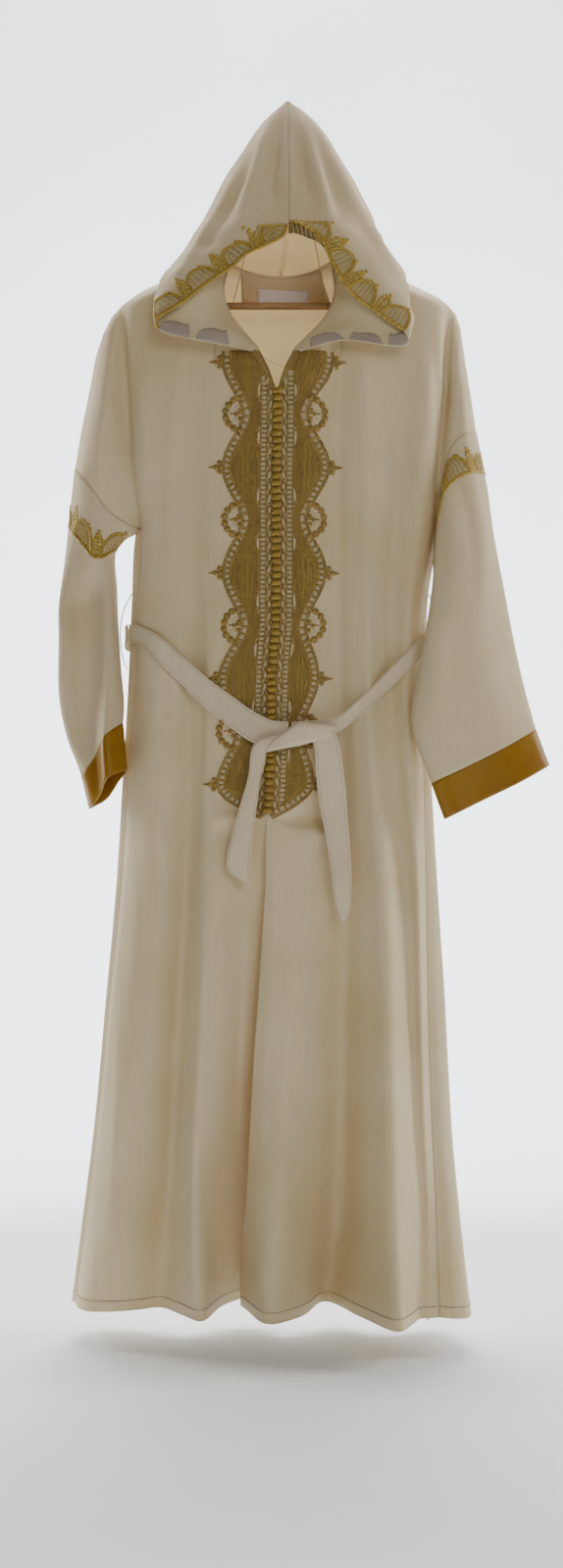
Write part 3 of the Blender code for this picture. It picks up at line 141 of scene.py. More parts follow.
sides = {
    "right": {
        "sign": -1,
        "centre": (
            (-333, -36, -64), (-360, -22, -64), (-383, -14, -63.5), (-402, -10.5, -63.5),
            (-433, -10.5, -63.5), (-496, -12, -64), (-569, -12, -64), (-700, -12.5, -66),
            (-760, -17.5, -67), (-850, -19.5, -68), (-915, -21, -69), (-961, -25, -69.5), (-975, -27, -66),
            (-1000, -22, -58), (-1048, -19, -50), (-1220, -28, -24), (-1382, -36, 14), (-1490, -42, 42),
            (-1631, -50, 84),
        ),
        "folds": (
            (-205, (-60, -36), (-98, -30), (-118, -28), (-156, -24), (-200, -20), (-223, -14)),
            (-270, (-66, -50), (-98, -44), (-118, -40), (-156, -36), (-202, -28), (-222, -18)),
            (-335, (-68, -60), (-99, -54), (-118, -50), (-156, -46), (-200, -40), (-219, -20)),
            (-400, (-66, -62), (-100, -57), (-118, -52), (-156, -50), (-197, -44), (-215, -16)),
            (-480, (-66, -62), (-101, -59), (-117, -53), (-156, -52), (-194, -44), (-209, -20)),
            (-525, (-66, -62), (-101, -60), (-117, -53), (-156, -52), (-190, -42), (-203, -26)),
            (-569, (-66, -62), (-101, -60), (-117, -53), (-156, -52), (-186, -38), (-196, -8)),
            (-674, (-68, -62), (-101, -60), (-119, -50), (-160, -50), (-190, -34), (-200, -14)),
            (-781, (-68, -63), (-101, -62), (-121, -47), (-162, -52), (-192, -34), (-203, -14)),
            (-915, (-66, -64), (-103, -66), (-127, -42), (-170, -54), (-202, -32), (-213, -12)),
            (-1048, (-62, -56), (-105, -70), (-131, -36), (-176, -54), (-211, -30), (-222, -8)),
            (-1220, (-62, -42), (-111, -74), (-136, -26), (-190, -50), (-228, -26), (-240, -2)),
            (-1382, (-72, -16), (-119, -74), (-144, -12), (-202, -42), (-240, -22), (-256, 8)),
            (-1490, (-76, 10), (-122, -72), (-152, 0), (-214, -30), (-250, -16), (-270, 18)),
            (-1631, (-84, 32), (-116, -62), (-166, 16), (-220, -6), (-274, -2), (-290, 46)),
        ),
        "armFront": (
            (-205, (-228, -14), (-236, -14), (-243, -12)),
            (-270, (-228, -20), (-236, -22), (-246, -20)),
            (-335, (-228, -26), (-240, -30), (-258, -22)),
            (-400, (-226, -24), (-244, -36), (-270, -24)),
            (-480, (-221, -24), (-250, -36), (-285, -22)),
            (-569, (-212, -26), (-250, -32), (-290, -20)),
        ),
        "armBack": (
            (-205, (-228, 12), (-236, 14), (-243, 12)),
            (-270, (-228, 18), (-236, 22), (-246, 20)),
            (-335, (-228, 22), (-240, 30), (-258, 22)),
            (-400, (-226, 22), (-244, 36), (-270, 24)),
            (-480, (-221, 20), (-250, 36), (-285, 22)),
            (-569, (-212, 14), (-250, 30), (-290, 20)),
        ),
        "shoulder": (
            (-286, -485), (-278, -435), (-268, -387), (-258, -333), (-248, -302), (-236, -278),
            (-218, -259), (-194, -243), (-171, -232), (-121, -216), (-76, -204),
        ),
        "corner": (-248, -302),
        "drop": ((-196, -569), (-218, -561), (-238, -546), (-262, -515), (-286, -485)),
        "neck": ((-76, -204), (-82, -245), (-77, -277), (-64, -298), (-50, -316), (-36, -333)),
        "stops": (-223, -208, -190, -160, -130, -100, -76),
        "sleeve": (
            ((-230, -4, -596), (-241, -28, -606), (-257, -34, -610), (-280, -22, -584), (-294, 0, -565),
             (-284, 18, -574), (-262, 24, -590), (-240, 14, -596)),
            ((-229, -2, -655), (-238, -30, -658), (-268, -8, -664), (-299, -18, -664), (-305, 0, -660),
             (-292, 26, -658), (-262, 34, -656), (-238, 22, -655)),
            ((-227, -2, -712), (-237, -34, -714), (-264, -6, -716), (-299, -18, -716), (-307, 0, -714),
             (-292, 30, -714), (-260, 38, -713), (-235, 26, -712)),
            ((-223, -10, -762), (-236, -42, -766), (-266, -8, -776), (-301, -14, -786), (-307, 2, -788),
             (-293, 32, -784), (-260, 36, -774), (-234, 16, -766)),
            ((-219, -20, -800), (-237, -50, -806), (-264, -16, -828), (-290, -16, -848), (-296, 0, -850),
             (-285, 30, -842), (-254, 28, -822), (-229, 4, -808)),
        ),
        "cuff": (
            ((-219, -34, -834), (-241, -58, -850), (-254, -30, -874), (-270, -24, -896), (-277, -2, -902),
             (-270, 24, -895), (-252, 16, -874), (-231, -12, -850)),
            ((-213, -42, -896), (-237, -62, -906), (-248, -36, -926), (-259, -26, -942), (-266, -4, -948),
             (-260, 20, -944), (-243, 10, -934), (-225, -18, -910)),
        ),
    },
    "left": {
        "sign": 1,
        "centre": (
            (-333, 12, -64), (-360, -2, -64), (-383, -9, -63.5), (-402, -10.5, -63.5), (-433, -10.5, -63.5),
            (-496, -12, -64), (-569, -12, -64), (-700, -12.5, -66), (-760, -17.5, -67), (-850, -19.5, -68),
            (-915, -21, -69), (-961, -25, -69.5), (-975, -26, -69.5), (-1048, -27, -66), (-1118, -31, -63),
            (-1220, -38, -58), (-1290, -43, -52), (-1382, -48, -44), (-1490, -54, -24), (-1550, -61, 0),
            (-1631, -62, 28),
        ),
        "folds": (
            (-205, (25, -40), (45, -38), (70, -32), (104, -30), (146, -26), (200, -20), (224, -14)),
            (-270, (28, -54), (50, -50), (71, -42), (104, -42), (146, -38), (203, -28), (223, -16)),
            (-335, (28, -62), (50, -58), (71, -50), (104, -52), (146, -44), (202, -38), (218, -14)),
            (-400, (26, -64), (48, -60), (71, -52), (104, -56), (146, -46), (201, -40), (215, -10)),
            (-480, (25, -65), (48, -61), (71, -53), (104, -58), (146, -47), (194, -42), (206, -22)),
            (-525, (25, -65), (48, -61), (71, -53), (104, -59), (146, -48), (189, -42), (203, -24)),
            (-569, (25, -65), (48, -62), (71, -54), (104, -60), (146, -48), (188, -38), (205, -8)),
            (-674, (25, -66), (48, -62), (71, -52), (106, -61), (140, -47), (172, -44), (188, -12)),
            (-781, (22, -67), (46, -62), (71, -50), (106, -62), (137, -44), (168, -44), (183, -14)),
            (-915, (8, -70), (40, -64), (76, -46), (115, -66), (146, -42), (172, -46), (187, -16)),
            (-1048, (-6, -74), (34, -66), (79, -40), (126, -70), (160, -44), (178, -46), (190, -20)),
            (-1220, (-8, -78), (30, -64), (78, -26), (132, -78), (168, -46), (182, -46), (192, -24)),
            (-1382, (-14, -80), (26, -58), (76, -8), (134, -88), (176, -46), (187, -44), (197, -30)),
            (-1490, (-19, -80), (22, -50), (74, 8), (136, -96), (182, -46), (192, -43), (202, -37)),
            (-1631, (-21, -77), (18, -40), (54, 52), (142, -115), (178, -52), (192, -45), (206, -40)),
        ),
        "armFront": (
            (-205, (230, -14), (236, -14), (242, -12)),
            (-270, (229, -18), (236, -18), (244, -16)),
            (-335, (226, -22), (236, -28), (246, -20)),
            (-400, (224, -22), (238, -32), (255, -22)),
            (-480, (219, -26), (240, -34), (262, -22)),
            (-569, (218, -26), (242, -32), (270, -20)),
        ),
        "armBack": (
            (-205, (230, 12), (236, 14), (242, 12)),
            (-270, (229, 16), (236, 18), (244, 16)),
            (-335, (226, 18), (236, 28), (246, 20)),
            (-400, (224, 18), (238, 32), (255, 22)),
            (-480, (219, 18), (240, 34), (262, 22)),
            (-569, (218, 12), (242, 30), (270, 20)),
        ),
        "shoulder": (
            (61, -204), (119, -216), (152, -227), (198, -247), (218, -259), (232, -276), (238, -294),
            (246, -348), (254, -398), (260, -438),
        ),
        "corner": (238, -294),
        "drop": ((205, -569), (212, -522), (217, -480), (226, -455), (240, -443), (260, -438)),
        "neck": ((61, -204), (66, -245), (58, -280), (44, -300), (28, -316), (12, -333)),
        "stops": (224, 210, 190, 150, 115, 85, 61),
        "sleeve": (
            ((203, -24, -640), (203, -44, -575), (217, -45, -518), (246, -34, -497), (270, -4, -494),
             (264, 20, -500), (244, 24, -535), (221, 4, -600)),
            ((192, -46, -705), (195, -62, -665), (226, -60, -632), (262, -46, -603), (284, -12, -589),
             (274, 10, -600), (244, 2, -640), (212, -24, -685)),
            ((176, -58, -768), (190, -75, -758), (222, -68, -738), (266, -50, -715), (304, -14, -698),
             (286, 8, -706), (240, -6, -738), (196, -36, -764)),
            ((169, -60, -836), (185, -77, -828), (222, -68, -812), (278, -50, -798), (323, -14, -786),
             (300, 6, -794), (240, -12, -812), (190, -40, -832)),
        ),
        "cuff": (
            ((196, -52, -914), (211, -67, -906), (246, -60, -890), (298, -44, -864), (338, -16, -841),
             (314, 2, -852), (262, -12, -880), (214, -34, -906)),
            ((213, -52, -961), (228, -67, -953), (263, -60, -936), (316, -44, -911), (356, -16, -889),
             (332, 2, -900), (280, -12, -927), (231, -34, -952)),
        ),
    },
}
backPanel = {
    "folds": (
        (-205, (-223, 10), (-206, 16), (-160, 20), (-120, 20), (-70, 24), (-7, 24), (58, 24), (110, 20),
         (160, 20), (204, 16), (214, 13), (224, 10)),
        (-270, (-222, 14), (-204, 22), (-160, 30), (-118, 30), (-66, 34), (-6, 34), (60, 34), (112, 30),
         (160, 30), (204, 22), (214, 17), (223, 12)),
        (-335, (-219, 16), (-200, 28), (-160, 40), (-116, 36), (-62, 44), (-4, 40), (62, 44), (114, 36),
         (160, 40), (200, 28), (210, 18), (218, 12)),
        (-400, (-215, 12), (-197, 32), (-158, 46), (-114, 40), (-60, 50), (-2, 44), (64, 50), (116, 40),
         (158, 46), (198, 31), (208, 18), (215, 8)),
        (-480, (-209, 14), (-195, 36), (-156, 50), (-112, 42), (-58, 54), (0, 46), (66, 54), (116, 42),
         (156, 50), (190, 36), (200, 26), (206, 15)),
        (-525, (-203, 12), (-196, 32), (-158, 50), (-112, 42), (-58, 55), (0, 47), (66, 55), (116, 42),
         (158, 50), (188, 34), (197, 24), (203, 10)),
        (-569, (-196, -8), (-203, 14), (-160, 50), (-112, 42), (-58, 56), (0, 48), (66, 56), (116, 42),
         (160, 50), (198, 24), (203, 8), (205, -8)),
        (-674, (-200, -14), (-208, 6), (-160, 50), (-112, 42), (-58, 58), (0, 48), (66, 58), (112, 42),
         (156, 50), (190, 16), (193, 2), (188, -12)),
        (-781, (-203, -14), (-213, 6), (-162, 54), (-112, 42), (-58, 62), (0, 48), (62, 62), (110, 42),
         (156, 54), (188, 14), (192, -2), (183, -14)),
        (-915, (-213, -12), (-220, 8), (-168, 60), (-114, 42), (-58, 68), (0, 48), (62, 68), (112, 42),
         (160, 60), (195, 14), (198, -4), (187, -16)),
        (-1048, (-222, -8), (-228, 12), (-176, 68), (-116, 42), (-58, 76), (0, 48), (62, 76), (116, 44),
         (164, 68), (203, 14), (205, -6), (190, -20)),
        (-1220, (-240, -2), (-243, 18), (-188, 80), (-122, 44), (-60, 88), (0, 50), (62, 88), (120, 48),
         (172, 80), (215, 16), (214, -12), (192, -24)),
        (-1382, (-256, 8), (-258, 28), (-200, 94), (-128, 48), (-62, 104), (2, 54), (64, 104), (124, 54),
         (182, 92), (224, 12), (220, -22), (197, -30)),
        (-1490, (-270, 18), (-272, 38), (-212, 104), (-132, 54), (-62, 116), (4, 58), (66, 116), (128, 60),
         (192, 100), (234, 8), (228, -32), (202, -36)),
        (-1631, (-290, 46), (-292, 66), (-230, 118), (-140, 66), (-64, 136), (6, 70), (68, 136), (134, 74),
         (206, 112), (250, -6), (238, -48), (206, -40)),
    ),
    "neck": ((-76, -204), (-60, -210), (-34, -217), (-7, -219), (20, -217), (45, -210), (61, -204)),
}

cut = {
    "underarm": -569.0, "hem": -1631.0, "roundReach": 35.0,
    "upperRows": 9, "upperPower": 1.5, "upperLength": 330.0,
    "neckFrom": 6, "neckColumns": 6, "neckFrontColumns": 5, "armColumns": 8,
    "frontColumns": 12, "backColumns": 19, "sleeveRound": 16,
    "neckV": -402.0, "embroideryEnd": -961.0, "embroideryInner": 7.0,
}
scallop = {
    "point": {"right": (73.0, 70.0), "left": (74.0, 58.0)},
    "waist": {"right": 46.0, "left": 40.0},
    "pitch": 141.0, "topPoint": -351.0, "lastPoint": -915.0, "close": 1.2,
}
centreShared = [row for row in sides["left"]["centre"] if cut["embroideryEnd"] <= row[0] <= cut["neckV"]]
kept = {}


def tableAt(table, z):
    # a table's points at any height, kept for the next time
    key = (id(table), round(float(z), 2))
    if key not in kept:
        rows = sorted(table, key=lambda row: row[0])
        kept[key] = through([row[0] for row in rows], [row[1:] for row in rows], z)[0]
    return kept[key]


def centreAt(table, z):
    # the opening's (x, y) at a height
    rows = sorted(table)
    keys = [row[0] for row in rows]
    return np.array([np.interp(z, keys, [row[k] for row in rows]) for k in (1, 2)])


shoulderLine = np.array(sides["right"]["shoulder"] + sides["left"]["shoulder"], float)


def shoulderDistance(x, z):
    # how far places in the front view stand from the shoulders' outline
    start = shoulderLine[:-1]
    reach = shoulderLine[1:] - start
    offset = np.stack([np.asarray(x, float), np.asarray(z, float)], -1)[..., None, :] - start
    share = np.clip((offset * reach).sum(-1) / (reach ** 2).sum(-1), 0, 1)
    return np.linalg.norm(offset - share[..., None] * reach, axis=-1).min(-1)


def rounding(x, z):
    # the depth falls to nothing at the shoulders' outline
    share = min(shoulderDistance(x, z) / cut["roundReach"], 1.0)
    return math.sqrt(1 - (1 - share) ** 2)


def sectionLine(points):
    points = np.asarray(points, float)
    return through(np.arange(len(points)), points, np.linspace(0, len(points) - 1, 121))


def depthAt(key, points, x):
    # depth at x of a section through the body, whose curve is kept
    key = ("depth",) + key
    if key not in kept:
        line = sectionLine(points())
        kept[key] = line[np.argsort(line[:, 0])]
    return float(np.interp(x, kept[key][:, 0], kept[key][:, 1]))


def frontSection(side, z):
    return np.vstack([centreAt(sides[side]["centre"], z), tableAt(sides[side]["folds"], z)])


def frontDepth(side, x, z):
    z = round(float(z), 2)
    made = lambda: np.vstack([frontSection(side, z), tableAt(sides[side]["armFront"], z)])
    return depthAt((side, z), made, x) * rounding(x, z)


def backDepth(x, z):
    z = round(float(z), 2)
    made = lambda: np.vstack([tableAt(sides["right"]["armBack"], z)[::-1], tableAt(backPanel["folds"], z),
                              tableAt(sides["left"]["armBack"], z)])
    return depthAt(("back", z), made, x) * rounding(x, z)


def scallopWidth(side, z):
    # width of the embroidery at a height: points with waists between them, closing at the foot
    top, last = scallop["topPoint"], scallop["lastPoint"]
    share = np.clip((top - z) / (top - last), 0, 1)
    first, second = scallop["point"][side]
    point = first + (second - first) * share
    waist = scallop["waist"][side]
    wave = 0.5 + 0.5 * math.cos(2 * math.pi * max(top - z, 0.0) / scallop["pitch"])
    if z >= last:
        return waist + (point - waist) * wave ** 0.8
    left = (last - z) / (last - cut["embroideryEnd"] + 4)
    return point * max(1 - left ** 2, 0.0) ** scallop["close"]


def lowerRows():
    # heights of the rows below the underarm; three of them round off the embroidery's foot
    return np.concatenate([np.linspace(cut["underarm"], scallop["lastPoint"], 13),
                           [-932.0, -948.0, cut["embroideryEnd"], -975.0, -1000.0, -1048.0, -1120.0, -1210.0,
                            -1300.0, -1390.0, -1475.0, -1555.0, cut["hem"]]])


def frontColumns(side, z):
    key = ("columns", side, round(float(z), 2))
    if key in kept:
        return kept[key]
    points = frontSection(side, z)
    line = sectionLine(points)
    steps = np.linspace(0, len(points) - 1, len(line))
    sign = sides[side]["sign"]
    outward = sign * (line[:, 0] - line[0, 0])
    if z > cut["embroideryEnd"] - 1:
        wide = scallopWidth(side, z)
    else:
        wide = sign * (points[1 if side == "right" else 2][0] - line[0, 0])
    inner = min(cut["embroideryInner"], 0.55 * wide)
    at = [float(np.interp(w, outward, steps)) for w in (0.0, inner, 0.5 * (inner + wide), wide)]
    rest = np.linspace(2.0 if side == "right" else 3.0, len(points) - 1, cut["frontColumns"] - 4)
    at += [max(rest[0] * 0.6 + at[3] * 0.4, at[3] + 0.1)] if at[3] > rest[0] - 0.3 else [rest[0]]
    at += list(rest[1:])
    kept[key] = through(np.arange(len(points)), points, at)
    return kept[key]


def upperShares():
    return (np.arange(cut["upperRows"] + 1) / cut["upperRows"]) ** cut["upperPower"]


def topLine(side):
    # the front's top edge in three stretches: neckline, shoulder and the arm's outline
    shape = sides[side]
    sign = shape["sign"]
    neck = along(shape["neck"], np.linspace(1, 0, cut["neckFrontColumns"] + 1))
    line = np.array(shape["shoulder"], float)
    line = line[np.argsort(line[:, 0])]
    heights = np.interp(shape["stops"], line[:, 0], line[:, 1])
    tops = np.column_stack([shape["stops"], heights])[::-1]
    start = tops[-1]
    beyond = sorted([p for p in shape["shoulder"] if p[0] * sign > start[0] * sign + 1
                     and p[1] >= shape["corner"][1]], key=lambda p: p[0] * sign)
    arm = polyline([start] + beyond, np.linspace(0, 1, cut["armColumns"] + 1))
    return neck, tops, arm


def armGrid(side, depth):
    # the cloth over the upper arm, from the body's edge to the drop seam
    shape = sides[side]
    shares = upperShares()
    top = topLine(side)[2]
    bottom = along(shape["drop"], np.linspace(0, 1, cut["armColumns"] + 1))
    edge = sorted([p for p in shape["shoulder"] if p[1] <= shape["corner"][1]], key=lambda p: -p[1])
    edge = polyline(edge, shares)
    grid = np.zeros((len(shares), cut["armColumns"] + 1, 3))
    for j in range(cut["armColumns"] + 1):
        for i, share in enumerate(shares):
            x, z = edge[i] if j == cut["armColumns"] else top[j] + (bottom[j] - top[j]) * share
            grid[i, j] = (x, depth(x, z), z)
    grid[:, -1, 1] = grid[0, :, 1] = 0.0
    return grid


def columnX(side, j, z):
    # the first four columns follow the opening and the embroidery's edge
    if j > 3:
        return float(frontColumns(side, z)[j, 0])
    sign = sides[side]["sign"]
    edge = centreAt(centreShared, z)[0] + sign * scallopWidth(side, z)
    opening = centreAt(sides[side]["centre"], z)[0]
    first = opening + sign * cut["embroideryInner"]
    return [opening, first, 0.5 * (first + edge), edge][j]


def frontGrid(side):
    # body columns run outwards from the opening, rows down from the neckline to the hem
    shape, count = sides[side], cut["frontColumns"]
    lower = np.array([np.column_stack([frontColumns(side, z), np.full(count, z)]) for z in lowerRows()])
    neck, tops, _ = topLine(side)
    top = np.vstack([neck[:-1], tops])
    shares = upperShares()
    arm = armGrid(side, lambda x, z: frontDepth(side, x, z))
    upper = np.zeros((len(shares), count, 3))
    for j in range(count):
        for i, share in enumerate(shares):
            z = top[j, 1] + (cut["underarm"] - top[j, 1]) * share
            x = columnX(side, j, z) + (top[j, 0] - columnX(side, j, top[j, 1])) * (1 - share) ** 2
            upper[i, j] = (x, frontDepth(side, x, z), z)
    for i in range(len(shares)):
        upper[i, 0, :2] = centreAt(shape["centre"], upper[i, 0, 2])
    upper[0, cut["neckFrontColumns"]:, 1] = 0.0
    upper[-1] = lower[0]
    arm[:, 0] = upper[:, -1]
    return np.concatenate([upper, lower[1:]]), arm


def backGrid():
    # columns run from the wearer's right side seam to the left one
    rows, folds, count = lowerRows(), backPanel["folds"], cut["backColumns"]
    steps = np.linspace(0, len(folds[0]) - 2, count)
    number = np.arange(len(folds[0]) - 1)
    lower = np.zeros((len(rows), count, 3))
    for i, z in enumerate(rows):
        lower[i, :, :2] = through(number, tableAt(folds, z), steps)
        lower[i, :, 2] = z
        lower[i, 0, :2] = frontColumns("right", z)[-1]
        lower[i, -1, :2] = frontColumns("left", z)[-1]
    neck = along(backPanel["neck"], np.linspace(0, 1, cut["neckColumns"] + 1))[1:-1]
    top = np.vstack([topLine("right")[1][::-1], neck, topLine("left")[1]])
    shares = upperShares()
    upper = np.zeros((len(shares), count, 3))
    acrossAt = lambda step, z: float(through(number, tableAt(folds, z), step)[0, 0])
    for j in range(count):
        for i, share in enumerate(shares):
            z = top[j, 1] + (cut["underarm"] - top[j, 1]) * share
            x = acrossAt(steps[j], z) + (top[j, 0] - acrossAt(steps[j], top[j, 1])) * (1 - share) ** 2
            upper[i, j] = (x, backDepth(x, z), z)
    # the shoulders' edges lie in the middle plane, as the fronts' do
    upper[0, :cut["neckFrom"] + 1, 1] = upper[0, -cut["neckFrom"] - 1:, 1] = 0.0
    upper[-1] = lower[0]
    arms = {side: armGrid(side, backDepth) for side in sides}
    arms["right"][:, 0] = upper[:, 0]
    arms["left"][:, 0] = upper[:, -1]
    return np.concatenate([upper, lower[1:]]), arms


def closedRing(points, count):
    points = np.asarray(points, float)
    size = len(points)
    padded = np.vstack([points[-2:], points, points[:3]])
    return through(np.arange(-2, size + 3), padded, np.arange(count) * size / count)


def sleeveGrid(side, frontArm, backArm):
    # one loop of 17 points for each ring, the last point on the first; the cuff's rings follow
    seam = np.vstack([frontArm[-1], backArm[-1][1:-1][::-1]])
    rings = sides[side]["sleeve"] + sides[side]["cuff"]
    seam[0] += 5.0 * unit(np.array(rings[0][0]) - seam[0])
    loops = np.array([seam] + [closedRing(ring, cut["sleeveRound"]) for ring in rings])
    return np.concatenate([loops, loops[:, :1]], axis=1)


# Materials

def toLinear(code):
    parts = [int(code[k:k + 2], 16) / 255 for k in (1, 3, 5)]
    return tuple(c / 12.92 if c <= 0.04045 else ((c + 0.055) / 1.055) ** 2.4 for c in parts) + (1.0,)


def addNode(tree, kind, values=None, links=None, stops=None, **settings):
    # adds a node, with socket values, links from (node, output) and colour ramp stops
    made = tree.nodes.new("ShaderNode" + kind)
    for name, value in settings.items():
        setattr(made, name, value)
    for socket, value in (values or {}).items():
        made.inputs[socket].default_value = value
    for socket, (source, output) in (links or {}).items():
        tree.links.new(source.outputs[output], made.inputs[socket])
    for spot, (place, code) in enumerate(stops or ()):
        stop = made.color_ramp.elements[spot]
        stop.position, stop.color = place, toLinear(code)
    return made


def newMaterial(name):
    material = bpy.data.materials.new(name)
    material.use_nodes = True
    material.node_tree.nodes.clear()
    return material, material.node_tree


def clothMaterial(name, look):
    # a pale to deep mottle, slubs that run down the cloth and a fine crepe grain
    material, tree = newMaterial(name)
    place = addNode(tree, "TexCoord")
    mottle = addNode(tree, "TexNoise", {"Scale": 1000 / look["mottleMm"], "Detail": 3.0},
                     {"Vector": (place, "Object")})
    colour = addNode(tree, "ValToRGB", None, {"Fac": (mottle, "Fac")},
                     ((0.32, look["deep"]), (0.68, look["pale"])))
    stretch = addNode(tree, "Mapping", {"Scale": look["slubStretch"]}, {"Vector": (place, "Object")})
    slub = addNode(tree, "TexNoise", {"Scale": 1000 / look["slubMm"], "Detail": 2.0},
                   {"Vector": (stretch, "Vector")})
    tone = addNode(tree, "ValToRGB", None, {"Fac": (slub, "Fac")},
                   ((0.3, look["slubDeep"]), (0.7, "#FFFFFF")))
    last, output = addNode(tree, "Mix", {0: 1.0}, {6: (colour, "Color"), 7: (tone, "Color")},
                           data_type="RGBA", blend_type="MULTIPLY"), 2
    for spot in look["spots"]:
        away = addNode(tree, "VectorMath", {1: [c * mm for c in spot["at"]]}, {0: (place, "Object")},
                       operation="DISTANCE")
        edge = addNode(tree, "MapRange", {"From Min": 0.0, "From Max": spot["radius"] * mm,
                                          "To Min": spot["strength"], "To Max": 0.0},
                       {"Value": (away, "Value")}, interpolation_type="SMOOTHSTEP")
        last = addNode(tree, "Mix", {7: toLinear(spot["colour"])}, {0: (edge, "Result"), 6: (last, output)},
                       data_type="RGBA")
    grain = addNode(tree, "TexNoise", {"Scale": 1000 / look["grainMm"], "Detail": 1.0},
                    {"Vector": (place, "Object")})
    height = addNode(tree, "Math", {}, {0: (grain, "Fac"), 1: (slub, "Fac")}, operation="ADD")
    bump = addNode(tree, "Bump", {"Strength": look["bump"], "Distance": 0.0006},
                   {"Height": (height, "Value")})
    shine = addNode(tree, "MapRange", {"To Min": look["rough"] - 0.05, "To Max": look["rough"] + 0.06},
                    {"Value": (slub, "Fac")})
    skin = addNode(tree, "BsdfPrincipled",
                   {"IOR": 1.5, "Metallic": 0.0, "Specular IOR Level": look["specular"],
                    "Sheen Weight": look["sheen"], "Sheen Roughness": 0.45},
                   {"Base Color": (last, output), "Roughness": (shine, "Result"), "Normal": (bump, "Normal")})
    glow = addNode(tree, "BsdfTranslucent", {"Color": toLinear(look["through"])},
                   {"Normal": (bump, "Normal")})
    both = addNode(tree, "MixShader", {0: look["share"]}, {1: (skin, "BSDF"), 2: (glow, "BSDF")})
    addNode(tree, "OutputMaterial", None, {"Surface": (both, "Shader")})
    return material


def threadMaterial(name, look):
    # silk or metal-wrapped thread: a fine twist along it, with painted shade in the twist's grooves, and a
    # light and dark mix from strand to strand
    material, tree = newMaterial(name)
    place = addNode(tree, "TexCoord")
    strands = addNode(tree, "TexNoise", {"Scale": 1000 / look["strandMm"], "Detail": 2.0},
                      {"Vector": (place, "Object")})
    colour = addNode(tree, "ValToRGB", None, {"Fac": (strands, "Fac")},
                     ((0.3, look["deep"]), (0.7, look["pale"])))
    twist = addNode(tree, "TexWave", {"Scale": 314 / look["twistMm"], "Distortion": 2.0, "Detail": 1.0},
                    {"Vector": (place, "Object")}, bands_direction="DIAGONAL")
    # the twist's grooves darkened in colour: painted shade
    ply = addNode(tree, "ValToRGB", None, {"Fac": (twist, "Fac")},
                  ((0.15, look["groove"]), (0.6, "#FFFFFF")))
    mixed = addNode(tree, "Mix", {0: 1.0}, {6: (colour, "Color"), 7: (ply, "Color")},
                    data_type="RGBA", blend_type="MULTIPLY")
    bump = addNode(tree, "Bump", {"Strength": 0.5, "Distance": 0.0004}, {"Height": (twist, "Fac")})
    skin = addNode(tree, "BsdfPrincipled",
                   {"IOR": 1.5, "Metallic": look["metallic"], "Roughness": look["rough"],
                    "Specular IOR Level": 0.5, "Sheen Weight": 0.15},
                   {"Base Color": (mixed, 2), "Normal": (bump, "Normal")})
    addNode(tree, "OutputMaterial", None, {"Surface": (skin, "BSDF")})
    return material


def woodMaterial(name, look):
    material, tree = newMaterial(name)
    place = addNode(tree, "TexCoord")
    stretch = addNode(tree, "Mapping", {"Scale": (0.08, 1.0, 1.0)}, {"Vector": (place, "Object")})
    grain = addNode(tree, "TexNoise", {"Scale": 1000 / look["grainMm"], "Detail": 4.0, "Distortion": 0.4},
                    {"Vector": (stretch, "Vector")})
    colour = addNode(tree, "ValToRGB", None, {"Fac": (grain, "Fac")},
                     ((0.35, look["deep"]), (0.65, look["pale"])))
    bump = addNode(tree, "Bump", {"Strength": 0.25, "Distance": 0.0003}, {"Height": (grain, "Fac")})
    shine = addNode(tree, "MapRange", {"To Min": 0.42, "To Max": 0.62}, {"Value": (grain, "Fac")})
    skin = addNode(tree, "BsdfPrincipled", {"IOR": 1.5},
                   {"Base Color": (colour, "Color"), "Roughness": (shine, "Result"),
                    "Normal": (bump, "Normal")})
    addNode(tree, "OutputMaterial", None, {"Surface": (skin, "BSDF")})
    return material


def plainMaterial(name, look):
    # for the wire and the studio paper: one colour with a faint cloudiness in tone and gloss
    material, tree = newMaterial(name)
    place = addNode(tree, "TexCoord")
    cloud = addNode(tree, "TexNoise", {"Scale": 1000 / look["cloudMm"], "Detail": 3.0},
                    {"Vector": (place, "Object")})
    colour = addNode(tree, "ValToRGB", None, {"Fac": (cloud, "Fac")},
                     ((0.3, look["deep"]), (0.7, look["pale"])))
    bump = addNode(tree, "Bump", {"Strength": look["bump"], "Distance": look["bumpMm"] * mm},
                   {"Height": (cloud, "Fac")})
    skin = addNode(tree, "BsdfPrincipled", {"Metallic": look["metallic"], "Roughness": look["rough"]},
                   {"Base Color": (colour, "Color"), "Normal": (bump, "Normal")})
    addNode(tree, "OutputMaterial", None, {"Surface": (skin, "BSDF")})
    return material


